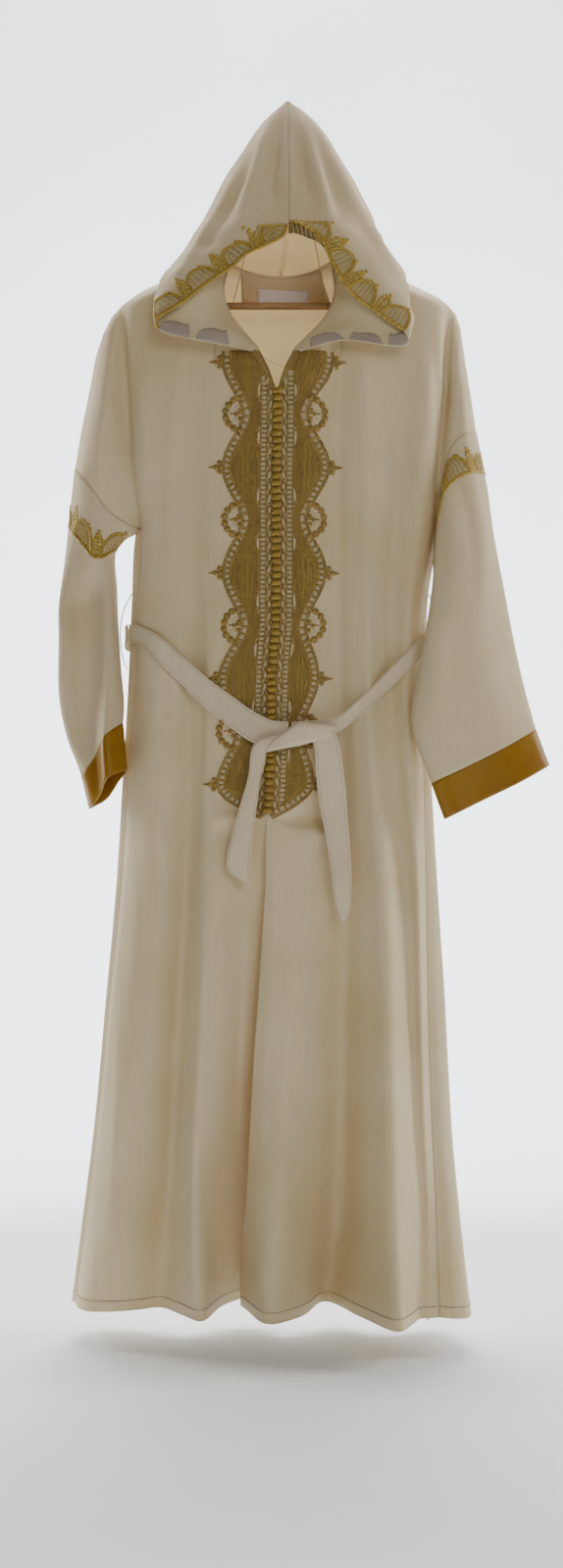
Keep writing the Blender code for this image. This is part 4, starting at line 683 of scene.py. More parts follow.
# satin-back crepe, woven and scoured: a soft low lustre outside, and light comes through one layer.
# The real crepe grain is about 0.3 mm, drawn at 1.4 mm so that it shows.
ivoryLook = {
    "pale": "#E9DFC2", "deep": "#DDD1AC", "mottleMm": 150, "slubMm": 2.4, "slubStretch": (1.0, 1.0, 0.05),
    "slubDeep": "#F9F5EE", "grainMm": 1.4, "bump": 0.1, "rough": 0.5, "specular": 0.35, "sheen": 0.1,
    "through": "#F1E1C2", "share": 0.34,
    "spots": (
        {"at": (-191, -60, -1583), "radius": 9, "strength": 0.5, "colour": "#8C7A5A"},
        {"at": (-157.5, -60, -1597), "radius": 8, "strength": 0.35, "colour": "#94825F"},
        {"at": (-187, -50, -1372), "radius": 6, "strength": 0.35, "colour": "#94825F"},
    ),
}
plainIvory = {**ivoryLook, "spots": ()}
finish = {
    "cloth": clothMaterial("satinBackCrepe", ivoryLook),
    # the satin back of the same crepe, turned inwards, with more of a matt bloom; its greyer, deeper colour
    # is painted shade on the cloth's inner side
    "inside": clothMaterial("crepeBackShaded", {**plainIvory, "pale": "#E4DABF", "deep": "#D7CAAA", "rough": 0.6,
                                          "specular": 0.25}),
    # the same crepe cut as tape for the belt, doubled, so less light comes through
    "tape": clothMaterial("crepeTape", {**plainIvory, "pale": "#E2D3BA", "deep": "#D4C4A6", "share": 0.12}),
    # the facing: two layers of the crepe with a thin interlining, so less light comes through; its deeper
    # colour is painted shade inside the back neck
    "facing": clothMaterial("linedCrepeShaded", {**plainIvory, "pale": "#E4D6B8", "deep": "#D6C6A2", "share": 0.3}),
    # mustard duchess satin, piece-dyed: a brighter sheen and a deep yellow brown in the folds
    "satin": clothMaterial("mustardSatin", {**plainIvory, "pale": "#A07806", "deep": "#8C6503",
                                            "slubDeep": "#F2E6C8", "rough": 0.36, "specular": 0.4,
                                            "sheen": 0.0, "through": "#D99A14", "share": 0.16}),
    # taffeta label, woven in one piece with a faint rib and left bare
    "label": clothMaterial("wovenLabel", {**plainIvory, "pale": "#EBE5EB", "deep": "#E0D9E0",
                                          "slubStretch": (0.05, 1.0, 1.0), "share": 0.05}),
    # beech dowel, turned and stained walnut brown
    "wood": woodMaterial("stainedBeech", {"pale": "#B08A5C", "deep": "#8C6A40", "grainMm": 6.0}),
    # drawn steel wire, bright
    "wire": plainMaterial("drawnSteel", {"pale": "#E6E0D6", "deep": "#CFC9BE", "metallic": 1.0, "rough": 0.35,
                                         "cloudMm": 5.0, "bump": 0.1, "bumpMm": 0.1}),
    # seamless studio paper, slightly rumpled on the floor
    "paper": plainMaterial("studioPaper", {"pale": "#ECF0F2", "deep": "#E8ECEE", "metallic": 0.0,
                                           "rough": 0.9, "cloudMm": 400.0, "bump": 0.2, "bumpMm": 3.0}),
}
# Threads: name, pale, deep, groove (painted shade in the twist's grooves), strand and twist in mm, metallic,
# roughness. The real twist is about 0.4 mm, drawn at 1.2 to 1.6 mm so that it shows.
threadLooks = {
    # olive gold rayon embroidery thread, two-ply and machine laid: dull gold, its grooves darkened as painted
    # shade
    "gold": ("oliveGoldThread", "#CFB056", "#8E6E20", "#66521F", 3.0, 1.6, 0.15, 0.5),
    # the same thread packed over the felt, deeper because it shades itself
    "ground": ("oliveGroundThread", "#A88A40", "#6A5018", "#7E6A3C", 1.8, 1.5, 0.1, 0.55),
    # brighter gold of the edge trims
    "trim": ("paleGoldThread", "#CDB04C", "#A68A2A", "#AE9C60", 3.0, 1.6, 0.2, 0.45),
    # ivory silk of the small satin-stitched tiles
    "silk": ("ivorySilkThread", "#DCCFAE", "#C2B28A", "#C4B892", 2.0, 1.3, 0.0, 0.4),
    # cord of the knotted buttons, wrapped with yellow gold thread
    "button": ("yellowGoldCord", "#C8A434", "#8F6F18", "#7C6222", 2.5, 1.4, 0.1, 0.38),
    # grey underside of the embroidery, where it shows through the turned-back edge
    "under": ("bobbinThread", "#BFB2A6", "#A4978B", "#C8BDB0", 2.0, 1.4, 0.0, 0.7),
    # spun polyester sewing thread of the seams, a shade deeper than the crepe
    "sewing": ("sewingThread", "#CDBF9E", "#B5A684", "#D8CCB4", 2.0, 1.2, 0.0, 0.6),
}
for key, (name, *values) in threadLooks.items():
    finish[key] = threadMaterial(name, dict(zip(
        ("pale", "deep", "groove", "strandMm", "twistMm", "metallic", "rough"), values)))
print("materials made:", len(finish))


# Making pieces

def addPiece(name, verts, faces, materials, slot):
    mesh = bpy.data.meshes.new(name)
    mesh.from_pydata([tuple(p) for p in np.asarray(verts) * mm], [], [tuple(f) for f in faces])
    mesh.update()
    mesh.shade_smooth()
    for material in materials:
        mesh.materials.append(finish[material])
    piece = bpy.data.objects.new(name, mesh)
    render.collection.objects.link(piece)
    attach(piece, "root")
    return piece


def quadsOf(number):
    # four-cornered faces between the neighbours in a grid of point numbers
    return np.stack([number[:-1, :-1], number[1:, :-1], number[1:, 1:], number[:-1, 1:]], -1).reshape(-1, 4)


def joinGrids(grids, flip):
    # one list of points and four-cornered faces, with the grids' shared points merged
    points, faces, start = [], [], 0
    for grid in grids:
        rows, columns = grid.shape[:2]
        quads = quadsOf(start + np.arange(rows * columns).reshape(rows, columns))
        faces.append(quads[:, ::-1] if flip else quads)
        points.append(grid.reshape(-1, 3))
        start += rows * columns
    points = np.concatenate(points)
    faces = np.concatenate(faces)
    _, first, same = np.unique(np.round(points, 2), axis=0, return_index=True, return_inverse=True)
    faces = same.reshape(-1)[faces]
    kept = [tuple(dict.fromkeys(face)) for face in faces.tolist()]
    return points[first], [face for face in kept if len(face) > 2]


def addShell(piece, name, thick, offset):
    shell = piece.modifiers.new(name, "SOLIDIFY")
    shell.thickness, shell.offset = thick * mm, offset
    return shell


def clothPiece(name, grids, flip, slot, thick, materials=("cloth", "inside")):
    # a thin shell with its own material inside, in place of the CAD node of its slot
    piece = addPiece(name, *joinGrids(grids, flip), materials, slot)
    shell = addShell(piece, "cloth", thick, -1.0)
    shell.material_offset, shell.material_offset_rim = 1, 0
    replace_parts(piece, slot)
    return piece


def newBundle():
    return {"verts": [], "faces": [], "size": 0}


def addRings(bundle, rings):
    # a closed skin over rings of points, each ring as long as the others
    count, sides = rings.shape[:2]
    number = bundle["size"] + np.arange(count * sides).reshape(count, sides)
    nextOne = np.roll(number, -1, axis=1)
    quads = np.stack([number[:-1], nextOne[:-1], nextOne[1:], number[1:]], -1).reshape(-1, 4)
    bundle["verts"].append(rings.reshape(-1, 3))
    bundle["faces"].extend(quads.tolist())
    bundle["faces"] += [number[0][::-1].tolist(), number[-1].tolist()]
    bundle["size"] += count * sides


def addThread(bundle, points, radius, normals=(0.0, -1.0, 0.0), sides=5, flat=1.0):
    points = np.asarray(points, float)
    tangent = unit(np.gradient(points, axis=0))
    normals = np.broadcast_to(np.asarray(normals, float), points.shape)
    across = unit(np.cross(tangent, normals))
    out = np.cross(across, tangent)
    radius = np.broadcast_to(np.asarray(radius, float), len(points))[:, None, None]
    angle = 2 * math.pi * np.arange(sides) / sides
    ring = np.cos(angle)[None, :, None] * across[:, None] + flat * np.sin(angle)[None, :, None] * out[:, None]
    addRings(bundle, points[:, None] + radius * ring)


def layThread(bundle, placed, radius, **shape):
    points, normals = placed
    addThread(bundle, points, radius, normals, **shape)


def addBead(bundle, centre, normal, radius, height, lobes, sides=12):
    # a small dome, round or with petals, that sits on the cloth
    normal = unit(np.asarray(normal, float))
    first = unit(np.cross(normal, (0.0, 0.0, 1.0)))
    second = np.cross(normal, first)
    angle = 2 * math.pi * np.arange(sides) / sides
    around = np.cos(angle)[:, None] * first + np.sin(angle)[:, None] * second
    made = []
    for level in np.linspace(0, 1, 4):
        reach = math.cos(level * math.pi / 2 * 0.94)
        petal = 1 + 0.16 * np.cos(lobes * angle) * reach if lobes else np.ones(sides)
        lift = height * math.sin(level * math.pi / 2)
        made.append(np.asarray(centre, float) + (reach * radius * petal)[:, None] * around + normal * lift)
    addRings(bundle, np.array(made))


def bundlePiece(bundle, name, material, slot):
    return addPiece(name, np.concatenate(bundle["verts"]), bundle["faces"], (material,), slot)


# The panels, refined from the tables and creased along listed lines

fine = {"column": 6, "arm": 3, "upperRows": 66, "lowerRows": 212, "thick": 0.9, "hemFold": 17.0}

# soft creases over the main folds: a line in the front view (x, z), half width and depth out of the cloth
creases = {
    "right": (
        (((-137, -300), (-149, -420), (-155, -560), (-150, -640)), 7, 1.6),
        (((-205, -330), (-208, -430), (-206, -540)), 9, -3.0),
        (((-112, -560), (-106, -800), (-112, -1000), (-124, -1240), (-114, -1620)), 5, 1.8),
        (((-118, -560), (-128, -780), (-132, -1050), (-150, -1300), (-162, -1620)), 9, -3.5),
        (((-100, -560), (-108, -760), (-116, -1020), (-140, -1300), (-168, -1560)), 15, -3.0),
        (((-24, -985), (-29, -1110), (-37, -1250), (-45, -1400), (-57, -1600)), 4.5, -3.2),
        (((-176, -950), (-160, -1010), (-158, -1090)), 6, 1.8),
        (((-196, -1000), (-190, -1120), (-200, -1260)), 7, -2.2),
        (((-224, -1180), (-232, -1400), (-246, -1620)), 7, 2.2),
        (((-84, -1180), (-90, -1400), (-96, -1620)), 9, 2.4),
        (((-60, -1060), (-66, -1300), (-74, -1620)), 7, -3.0),
        (((-196, -860), (-180, -900), (-168, -960)), 5, 1.4),
        (((-150, -700), (-162, -820), (-170, -930)), 8, -1.6),
    ),
    "left": (
        (((-18, -985), (-20, -1110), (-28, -1250), (-36, -1400), (-50, -1600)), 6, 2.6),
        (((150, -340), (152, -520), (140, -760), (128, -960)), 16, -3.0),
        (((66, -360), (72, -500), (73, -700), (78, -900), (82, -1100), (70, -1400), (54, -1625)), 10, -2.6),
        (((104, -400), (108, -620), (114, -900), (126, -1100), (136, -1400), (144, -1625)), 6, 2.0),
        (((148, -420), (142, -640), (146, -900), (162, -1100), (172, -1400), (178, -1625)), 8, -2.6),
        (((178, -1000), (186, -1150), (192, -1260)), 5, 1.6),
        (((158, -1060), (168, -1140), (170, -1230)), 5, 1.6),
        (((20, -980), (10, -1200), (0, -1400), (-8, -1620)), 8, 2.0),
        (((196, -640), (190, -800), (196, -930)), 6, -1.8),
        (((200, -330), (208, -440), (206, -540)), 7, -2.4),
        (((44, -980), (40, -1200), (34, -1420), (22, -1620)), 8, -1.8),
    ),
    "back": (
        (((-150, -330), (-160, -520), (-166, -760)), 10, 2.0),
        (((-60, -300), (-62, -560), (-60, -900)), 12, 1.8),
        (((60, -300), (64, -600), (60, -960)), 12, 1.8),
        (((150, -330), (160, -520), (158, -760)), 10, 2.0),
        (((-120, -900), (-124, -1200), (-136, -1620)), 10, -3.0),
        (((118, -900), (122, -1200), (134, -1620)), 10, -3.0),
        (((-200, -900), (-206, -1200), (-230, -1620)), 8, 2.4),
        (((-30, -1000), (-28, -1300), (-30, -1620)), 8, 2.2),
        (((34, -980), (34, -1300), (38, -1620)), 8, 2.0),
        (((176, -1000), (190, -1300), (214, -1620)), 8, 2.2),
        (((-96, -620), (-90, -800), (-94, -1000)), 9, -1.8),
        (((0, -400), (2, -620), (0, -900)), 10, -1.6),
        (((-190, -420), (-186, -520), (-180, -620)), 8, -2.0),
    ),
}


def creaseField(x, z, lines):
    # how far the cloth stands out at each point of the front view
    spots = np.stack([x.ravel(), z.ravel()], -1)
    total = np.zeros(len(spots))
    for points, half, depth in lines:
        line = along(points, np.linspace(0, 1, 22))
        start, reach = line[:-1], np.diff(line, axis=0)
        offset = spots[:, None] - start
        share = np.clip((offset * reach).sum(-1) / (reach ** 2).sum(-1), 0, 1)
        away = np.linalg.norm(offset - share[..., None] * reach, axis=-1)
        near = away.argmin(1)
        row = np.arange(len(spots))
        place = (near + share[row, near]) / (len(line) - 1)
        shape = np.exp(-(away[row, near] / half) ** 2)
        total += depth * shape * np.sin(math.pi * np.clip(place, 0.001, 0.999)) ** 0.6
    return total.reshape(x.shape)


def slackField(x, z, phase):
    # the cloth's own unevenness: long shallow waves that run down it
    drift = 14 * np.sin(z / 190 + phase) + 6 * np.sin(z / 83 + 2 * phase)
    wave = np.sin((x + drift) / 13.0 + phase) + 0.7 * np.sin((x - drift) / 7.3 + 3 * phase)
    swell = 0.55 + 0.45 * np.sin(z / 140 + x / 60 + phase)
    return 0.5 * wave * swell + 0.35 * np.sin(z / 21 + x / 17 + phase)


def bodyKeys():
    upper = upperShares() * cut["upperLength"]
    lower = cut["upperLength"] + cut["underarm"] - lowerRows()[1:]
    return np.concatenate([upper, lower])


rowKeys = bodyKeys()
fineKeys = np.concatenate([np.linspace(0, cut["upperLength"], fine["upperRows"] + 1),
                           np.linspace(cut["upperLength"], rowKeys[-1], fine["lowerRows"] + 1)[1:]])


def refineRows(grid):
    keys = rowKeys[:len(grid)]
    return through(keys, grid, fineKeys[fineKeys <= keys[-1] + 1e-6])


def finePanel(body, armsLow, armsHigh, corners):
    # body columns with the arms' columns before and after them; corners split the top edge
    upper = cut["upperRows"] + 1
    low = armsLow.shape[1] - 1 if armsLow is not None else 0
    high = armsHigh.shape[1] - 1 if armsHigh is not None else 0
    counts = [fine["arm"]] * low + [fine["column"]] * (body.shape[1] - 1) + [fine["arm"]] * high
    rows = []
    for i in range(upper):
        parts = [armsLow[i, :0:-1]] if low else []
        parts += [body[i]] + ([armsHigh[i, 1:]] if high else [])
        line = np.concatenate(parts)
        if i == 0:
            cuts = [0] + [low + c for c in corners] + [len(line) - 1]
        elif i == upper - 1:
            cuts = [0] + ([low] if low else []) + ([len(line) - 1 - high] if high else []) + [len(line) - 1]
        else:
            cuts = [0, len(line) - 1]
        pieces = [fineLine(line[a:b + 1], counts[a:b])[:-1] for a, b in zip(cuts, cuts[1:])]
        rows.append(np.concatenate(pieces + [line[-1:]]))
    top = np.array(rows)
    first = low * fine["arm"]
    last = first + (body.shape[1] - 1) * fine["column"]
    lower = np.array([fineLine(row, [fine["column"]] * (body.shape[1] - 1)) for row in body[upper:]])
    middle = refineRows(np.concatenate([top[:, first:last + 1], lower]))
    wide = refineRows(top)
    wide[:, first:last + 1] = middle[:len(wide)]
    return wide, middle[len(wide) - 1:], (first, last)


def creasePanel(wide, long, span, lines, out, phase):
    # moves both grids of a panel out of its plane, fading towards the seams
    first, last = span
    for grid, start, end in ((wide, first, last), (long, 0, -1)):
        x, z = grid[..., 0], grid[..., 2]
        move = 1.5 * creaseField(x, z, lines) + slackField(x, z, phase)
        fade = smoothStep(shoulderDistance(x, z) / 45.0)
        low = smoothStep((cut["underarm"] + 50 - z) / 50.0)
        for column in (start, end):
            seam = smoothStep(np.abs(x - grid[:, column, 0][:, None]) / 22.0)
            fade = fade * (1 - low * (1 - seam))
        if grid is wide:
            column = np.arange(grid.shape[1])
            fromDrop = (len(grid) - 1 - np.arange(len(grid)))[:, None] * 5.0
            fade = fade * np.where((column < first) | (column > last), smoothStep(fromDrop / 40.0), 1.0)
        grid[..., 1] += out * move * fade


def hemFold(long, out):
    # the hem is turned up twice, so its last 17 mm stand a little proud of the cloth above
    ridge = smoothStep((cut["hem"] + fine["hemFold"] - long[..., 2]) / 1.5 + 0.5)
    long[..., 1] += out * 0.55 * ridge


fronts, frontArms = {}, {}
for side in sides:
    fronts[side], frontArms[side] = frontGrid(side)
back, backArms = backGrid()
print("panel tables read")

panels = {}


def makePanel(node, name, parts, corners, lines, out, phase, flip):
    wide, long, span = finePanel(*parts, corners)
    creasePanel(wide, long, span, lines, out, phase)
    hemFold(long, out)
    panels[node] = (wide, long, clothPiece(name, [wide, long], flip, node, fine["thick"]))


# the left front's columns run towards +X, so its faces turn the other way round
for number, side in enumerate(sides):
    makePanel("front_" + side, "front" + side.capitalize(), (fronts[side], None, frontArms[side]),
              [cut["neckFrontColumns"]], creases[side], -1.0, 1.0 + 2.1 * number, side == "right")
makePanel("back", "backPanel", (back, backArms["right"], backArms["left"]),
          (cut["neckFrom"], cut["neckFrom"] + cut["neckColumns"]), creases["back"], 1.0, 5.2, True)
print("panels made")


def raysOf(grids):
    verts, faces = joinGrids(grids, False)
    return BVHTree.FromPolygons([tuple(v) for v in verts], faces)


trees = {side: raysOf(panels["front_" + side][:2]) for side in sides}


def dropOn(tree, x, z, lift):
    # points on the cloth at each (x, z) of the front view, lifted off it along its normal
    points, normals = [], []
    for one, two, up in zip(*asRows(x, z, lift)):
        place, normal, _, _ = tree.ray_cast((one, -400.0, two), (0.0, 1.0, 0.0))
        if place is None:
            place, normal, _, _ = tree.find_nearest((one, -60.0, two))
        normal = np.array(normal)
        normal = normal if normal[1] < 0 else -normal
        points.append(np.array(place) + normal * up)
        normals.append(normal)
    return np.array(points), np.array(normals)


# Sleeves and cuffs

sleeveCreases = {
    # (round the tube from the body's side, down from the seam), half width, depth
    "right": (
        (((70, 6), (92, 60), (88, 150), (84, 260)), 8, -3.0),
        (((112, 10), (120, 90), (116, 190)), 6, 2.0),
        (((40, 60), (46, 140), (40, 250)), 7, 2.2),
        (((196, 20), (204, 130), (198, 240)), 9, 2.4),
        (((232, 40), (240, 150), (236, 250)), 8, -2.2),
        (((150, 10), (156, 60), (150, 120)), 6, -1.6),
    ),
    "left": (
        (((60, 10), (70, 90), (64, 200)), 7, 2.4),
        (((84, 20), (96, 110), (92, 210)), 8, -2.6),
        (((112, 30), (118, 120), (112, 210)), 6, 2.2),
        (((200, 20), (206, 120), (200, 220)), 9, 2.2),
        (((240, 30), (246, 140), (240, 220)), 8, -2.4),
        (((30, 40), (26, 130), (30, 210)), 7, -2.0),
    ),
}
sleeves = {}


def seamRing(side, start):
    # the armhole at the panels' own fine steps, round from the underarm and back to it
    count = cut["armColumns"] * fine["arm"] + 1
    frontSeam = panels["front_" + side][0][-1, -count:]
    backRow = panels["back"][0][-1]
    backSeam = backRow[:count] if side == "right" else backRow[-count:][::-1]
    ring = np.vstack([frontSeam, backSeam[1:]])
    ring[0] = ring[-1] = start
    return ring


def makeSleeve(side):
    coarse = sleeveGrid(side, frontArms[side], backArms[side])
    loops = [seamRing(side, coarse[0, 0])]
    for loop in coarse[1:]:
        padded = np.vstack([loop[-3:-1], loop, loop[1:3]])
        loops.append(fineLine(padded, [fine["arm"]] * (len(padded) - 1))[2 * fine["arm"]:-2 * fine["arm"]])
    loops = np.array(loops)
    last = len(sides[side]["sleeve"]) + 1
    tube = through(np.arange(last + 1), loops[:last + 1], np.linspace(0, last, last * 12 + 1))
    band = through(np.arange(2), loops[last:], np.linspace(0, 1, 17))
    middle = tube.mean(axis=1, keepdims=True)
    around = np.arange(tube.shape[1]) * 6.0
    down = runLength(middle[:, 0])
    a, d = np.meshgrid(around, down)
    move = creaseField(a, d, sleeveCreases[side]) + 0.8 * slackField(a, -d, 2.0 + sides[side]["sign"])
    move *= smoothStep(d / 30) * smoothStep((down[-1] - d) / 24)
    move *= smoothStep(np.minimum(a, around[-1] - a) / 12 + 0.15)
    tube = tube + outwardNormals(tube, middle) * move[..., None]
    flip = side == "left"
    piece = clothPiece("sleeve" + side.capitalize(), [tube], flip, "sleeve_" + side, fine["thick"])
    ripple = 0.5 * np.sin(np.linspace(0, 2 * math.pi * 5, band.shape[1]))[None, :] \
        * np.sin(np.linspace(0, math.pi, len(band)))[:, None]
    band = band + gridNormals(band) * ripple[..., None]
    cuff = clothPiece("cuff" + side.capitalize(), [band], flip, "cuff_" + side, 1.2, ("satin", "satin"))
    sleeves[side] = {"tube": tube, "piece": piece, "cuff": cuff}
    # piping where the cuff joins the sleeve, and its turned lower edge
    piping = newBundle()
    for row, radius in ((0, 1.3), (-1, 0.7)):
        addThread(piping, band[row], radius, gridNormals(band)[row], sides=6)
    bundlePiece(piping, "cuffPiping" + side.capitalize(), "trim", "cuff_" + side)


for side in sides:
    makeSleeve(side)
print("sleeves made")


# Hood: rows from the peak down, each from the face's edge back to the centre seam as (x, y, z). Rows that
# end with a number join the neckline there: 0 is the middle of the back, 1 the shoulder, 2 the V's corner.

hood = {
    "right": (
        ((3, -9, 8), (3, -5, 13), (3, 0, 15), (3, 5, 13), (3, 9, 8)),
        ((3, -24, -12), (-16, -16, -10), (-28, 0, -13), (-16, 16, -10), (3, 24, -12)),
        ((3, -42, -46), (-32, -32, -44), (-52, -2, -45), (-30, 24, -44), (2, 34, -46)),
        ((4, -66, -96), (-50, -52, -97), (-84, -6, -98), (-48, 30, -96), (1, 42, -98)),
        ((4, -82, -140), (-64, -68, -148), (-110, -10, -150), (-62, 34, -150), (0, 44, -150)),
        ((3, -91, -170), (-74, -78, -174), (-124, -12, -170), (-68, 36, -172), (-2, 42, -186)),
        ((-1, -92, -190), (-80, -79, -187), (-131, -13, -182), (-74, 36, -182), (-4, 32, -204)),
        ((-23, -92, -203), (-86, -79, -198), (-138, -14, -193), (-80, 34, -192), 0.0),
        ((-51, -90, -215), (-100, -79, -210), (-146, -16, -205), (-98, 28, -196), 0.4),
        ((-72, -88, -233), (-114, -77, -224), (-156, -18, -217), (-108, 16, -192), 0.8),
        ((-103, -86, -253), (-134, -76, -240), (-166, -28, -230), (-110, -16, -190), 1.06),
        ((-132, -82, -275), (-154, -72, -262), (-172, -44, -250), (-112, -60, -224), 1.3),
        ((-170, -76, -300), (-174, -70, -290), (-173, -62, -280), (-118, -70, -258), 1.5),
        ((-160, -78, -317), (-155, -76, -310), (-146, -73, -302), (-112, -72, -290), 1.66),
        ((-119, -80, -326), (-113, -79, -322), (-105, -77, -317), (-84, -72, -306), 1.8),
        ((-76, -79, -334), (-73, -78, -332), (-69, -77, -329), (-60, -73, -322), 1.92),
        ((-45, -75, -340), (-44, -74, -339), (-43, -73, -338), (-40, -70, -336), 2.0),
    ),
    "left": (
        ((3, -9, 8), (3, -5, 13), (3, 0, 15), (3, 5, 13), (3, 9, 8)),
        ((3, -24, -12), (24, -16, -8), (39, 0, -13), (24, 16, -10), (3, 24, -12)),
        ((3, -42, -46), (38, -36, -44), (63, -2, -45), (34, 24, -44), (2, 34, -46)),
        ((4, -66, -96), (56, -58, -97), (92, -6, -98), (52, 30, -96), (1, 42, -98)),
        ((4, -82, -140), (76, -70, -148), (116, -10, -144), (66, 34, -150), (0, 44, -150)),
        ((3, -91, -170), (76, -80, -170), (122, -10, -164), (70, 36, -172), (-2, 42, -186)),
        ((10, -93, -172), (82, -82, -178), (129, -11, -172), (77, 35, -180), (-4, 32, -204)),
        ((20, -94, -176), (88, -82, -184), (134, -12, -181), (84, 34, -188), 0.0),
        ((44, -92, -192), (100, -82, -200), (145, -14, -198), (96, 28, -194), 0.4),
        ((58, -90, -220), (110, -80, -218), (154, -16, -212), (100, 16, -192), 0.8),
        ((73, -88, -247), (122, -77, -238), (162, -26, -227), (100, -16, -190), 1.06),
        ((92, -85, -271), (137, -74, -258), (167, -42, -246), (100, -60, -222), 1.3),
        ((126, -80, -294), (152, -73, -280), (168, -58, -267), (104, -72, -252), 1.5),
        ((164, -76, -323), (168, -73, -312), (167, -68, -302), (112, -71, -288), 1.64),
        ((148, -79, -337), (142, -78, -330), (132, -76, -322), (94, -72, -305), 1.76),
        ((96, -82, -326), (91, -81, -324), (84, -79, -321), (66, -75, -314), 1.87),
        ((46, -79, -331), (43, -78, -330), (39, -77, -329), (31, -73, -325), 1.95),
        ((20, -75, -340), (19, -74, -339), (18, -73, -338), (16, -70, -336), 2.0),
    ),
}

hoodCut = {"columns": 10, "trim": 28.0, "seamOff": 0.7, "betweenOff": 1.6, "steps": 4}


def neckPoint(side, share):
    # a place on the neckline, with the hood's numbers for it
    if share <= 1:
        half = 0.5 * (1 - share) if side == "right" else 0.5 * (1 + share)
        x, z = along(backPanel["neck"], [half])[0]
        return np.array([x, backDepth(x, z), z])
    x, z = along(sides[side]["neck"], [share - 1])[0]
    return np.array([x, frontDepth(side, x, z), z])


def neckline(side):
    # points just outside half of the neckline: middle of the back, side of the neck, front corner
    sign = sides[side]["sign"]
    half = cut["neckColumns"] // 2
    middle = cut["neckFrom"] + half
    outBack = gridNormals(back)
    outBack *= np.sign(outBack[5, middle, 1])
    outFront = gridNormals(fronts[side])
    outFront *= -np.sign(outFront[5, 3, 1])
    corners, outward = ([grid[0, middle + sign * k] for k in range(half + 1)] for grid in (back, outBack))
    outward[-1] = unit(outward[-1] + outFront[0, cut["neckFrontColumns"]])
    for k in range(cut["neckFrontColumns"] - 1, -1, -1):
        corners.append(fronts[side][0, k])
        outward.append(outFront[0, k])
    line, shares = [], []
    for k, point in enumerate(corners):
        line.append(point + outward[k] * hoodCut["seamOff"])
        share = k / half if k <= half else 1 + (k - half) / cut["neckFrontColumns"]
        shares.append(share)
        if k + 1 < len(corners):
            step = 1 / half if k < half else 1 / cut["neckFrontColumns"]
            between = unit(outward[k] + outward[k + 1]) * hoodCut["betweenOff"]
            line.append(neckPoint(side, share + 0.5 * step) + between)
            shares.append(share + 0.5 * step)
    return np.array(line), np.array(shares)


def hoodGrid(side):
    # the rows above the neckline as given, those below it ending on its points
    line, shares = neckline(side)
    peak = [row for row in hood[side] if not isinstance(row[4], float)]
    low = [row for row in hood[side] if isinstance(row[4], float)]
    loops = [np.array(row, float) for row in peak]
    rows = through([row[4] for row in low], np.array([row[:4] for row in low], float), shares)
    loops += [np.vstack([points, end]) for points, end in zip(rows, line)]
    grid = []
    for points in loops:
        trim = min(hoodCut["trim"] / runLength(points)[-1], 0.35)
        steps = np.concatenate([[0, trim / 2], np.linspace(trim, 1, hoodCut["columns"])])
        grid.append(along(points, steps))
    grid = np.array(grid)
    wide = np.array([fineLine(row, [3, 3] + [4] * (grid.shape[1] - 3)) for row in grid])
    number = np.arange(len(wide))
    return through(number, wide, np.linspace(0, len(wide) - 1, (len(wide) - 1) * hoodCut["steps"] + 1))


hoodCreases = {
    "left": (
        (((5, -24), (15, -66), (24, -108), (30, -142)), 9, -3.6),
        (((7, -12), (32, -50), (46, -100), (54, -146), (60, -172)), 8, 2.8),
        (((24, -8), (46, -42), (69, -90), (91, -136), (117, -181), (145, -226), (160, -247)), 8, 2.4),
        (((20, -22), (40, -66), (60, -118), (78, -166)), 10, -2.6),
        (((100, -120), (124, -160), (150, -214)), 7, -1.8),
    ),
    "right": (
        (((-5, -20), (-14, -66), (-16, -116), (-8, -150)), 9, -3.2),
        (((-2, -96), (-12, -112), (-8, -128)), 6, 2.4),
        (((-14, -16), (-34, -70), (-52, -130), (-62, -176)), 8, 2.0),
        (((-30, -60), (-62, -120), (-90, -170), (-110, -214)), 8, -1.8),
        (((-60, -90), (-96, -160), (-132, -220), (-150, -246)), 7, 1.8),
    ),
}
hoodGrids = {side: hoodGrid(side) for side in sides}
seamRows = 5 * hoodCut["steps"] + 1
joined = 0.5 * (hoodGrids["right"][:seamRows, 0] + hoodGrids["left"][:seamRows, 0])
hoodMiddle = np.array([0.0, -20.0, -140.0])
hoods = {}


def makeHood(side):
    grid = hoodGrids[side]
    grid[:seamRows, 0] = joined
    normals = outwardNormals(grid, hoodMiddle)
    x, z = grid[..., 0], grid[..., 2]
    folds = 3.2 * creaseField(x, z, hoodCreases[side]) * smoothStep((-normals[..., 1] + 0.1) / 0.5)
    # the back of the hood, which the photo doesn't show, has the other side's folds mirrored
    mirrored = [([(-p[0], p[1]) for p in points], half, depth * 0.8)
                for points, half, depth in hoodCreases["left" if side == "right" else "right"]]
    folds += creaseField(x, z, mirrored) * smoothStep((normals[..., 1] + 0.1) / 0.5)
    slack = 0.5 * np.sin(x / 9 + z / 31) + 0.4 * np.sin(z / 13 - x / 24)
    row = np.arange(len(grid))[:, None] / hoodCut["steps"]
    column = np.arange(grid.shape[1])[None, :]
    fade = smoothStep(column / 5.0) * smoothStep((grid.shape[1] - 1 - column) / 5.0)
    fade = fade * smoothStep(row / 1.5) * smoothStep(len(grid) / hoodCut["steps"] - 1 - row)
    grid = grid + normals * ((folds + slack) * fade)[..., None]
    piece = clothPiece("hood" + side.capitalize(), [grid], side == "left", "hood_" + side, fine["thick"])
    hoods[side] = (grid, normals, piece)


for side in sides:
    makeHood(side)
print("hood made")


# Embroidery beside the opening, laid out by its distance from the opening (s) and its height (z)

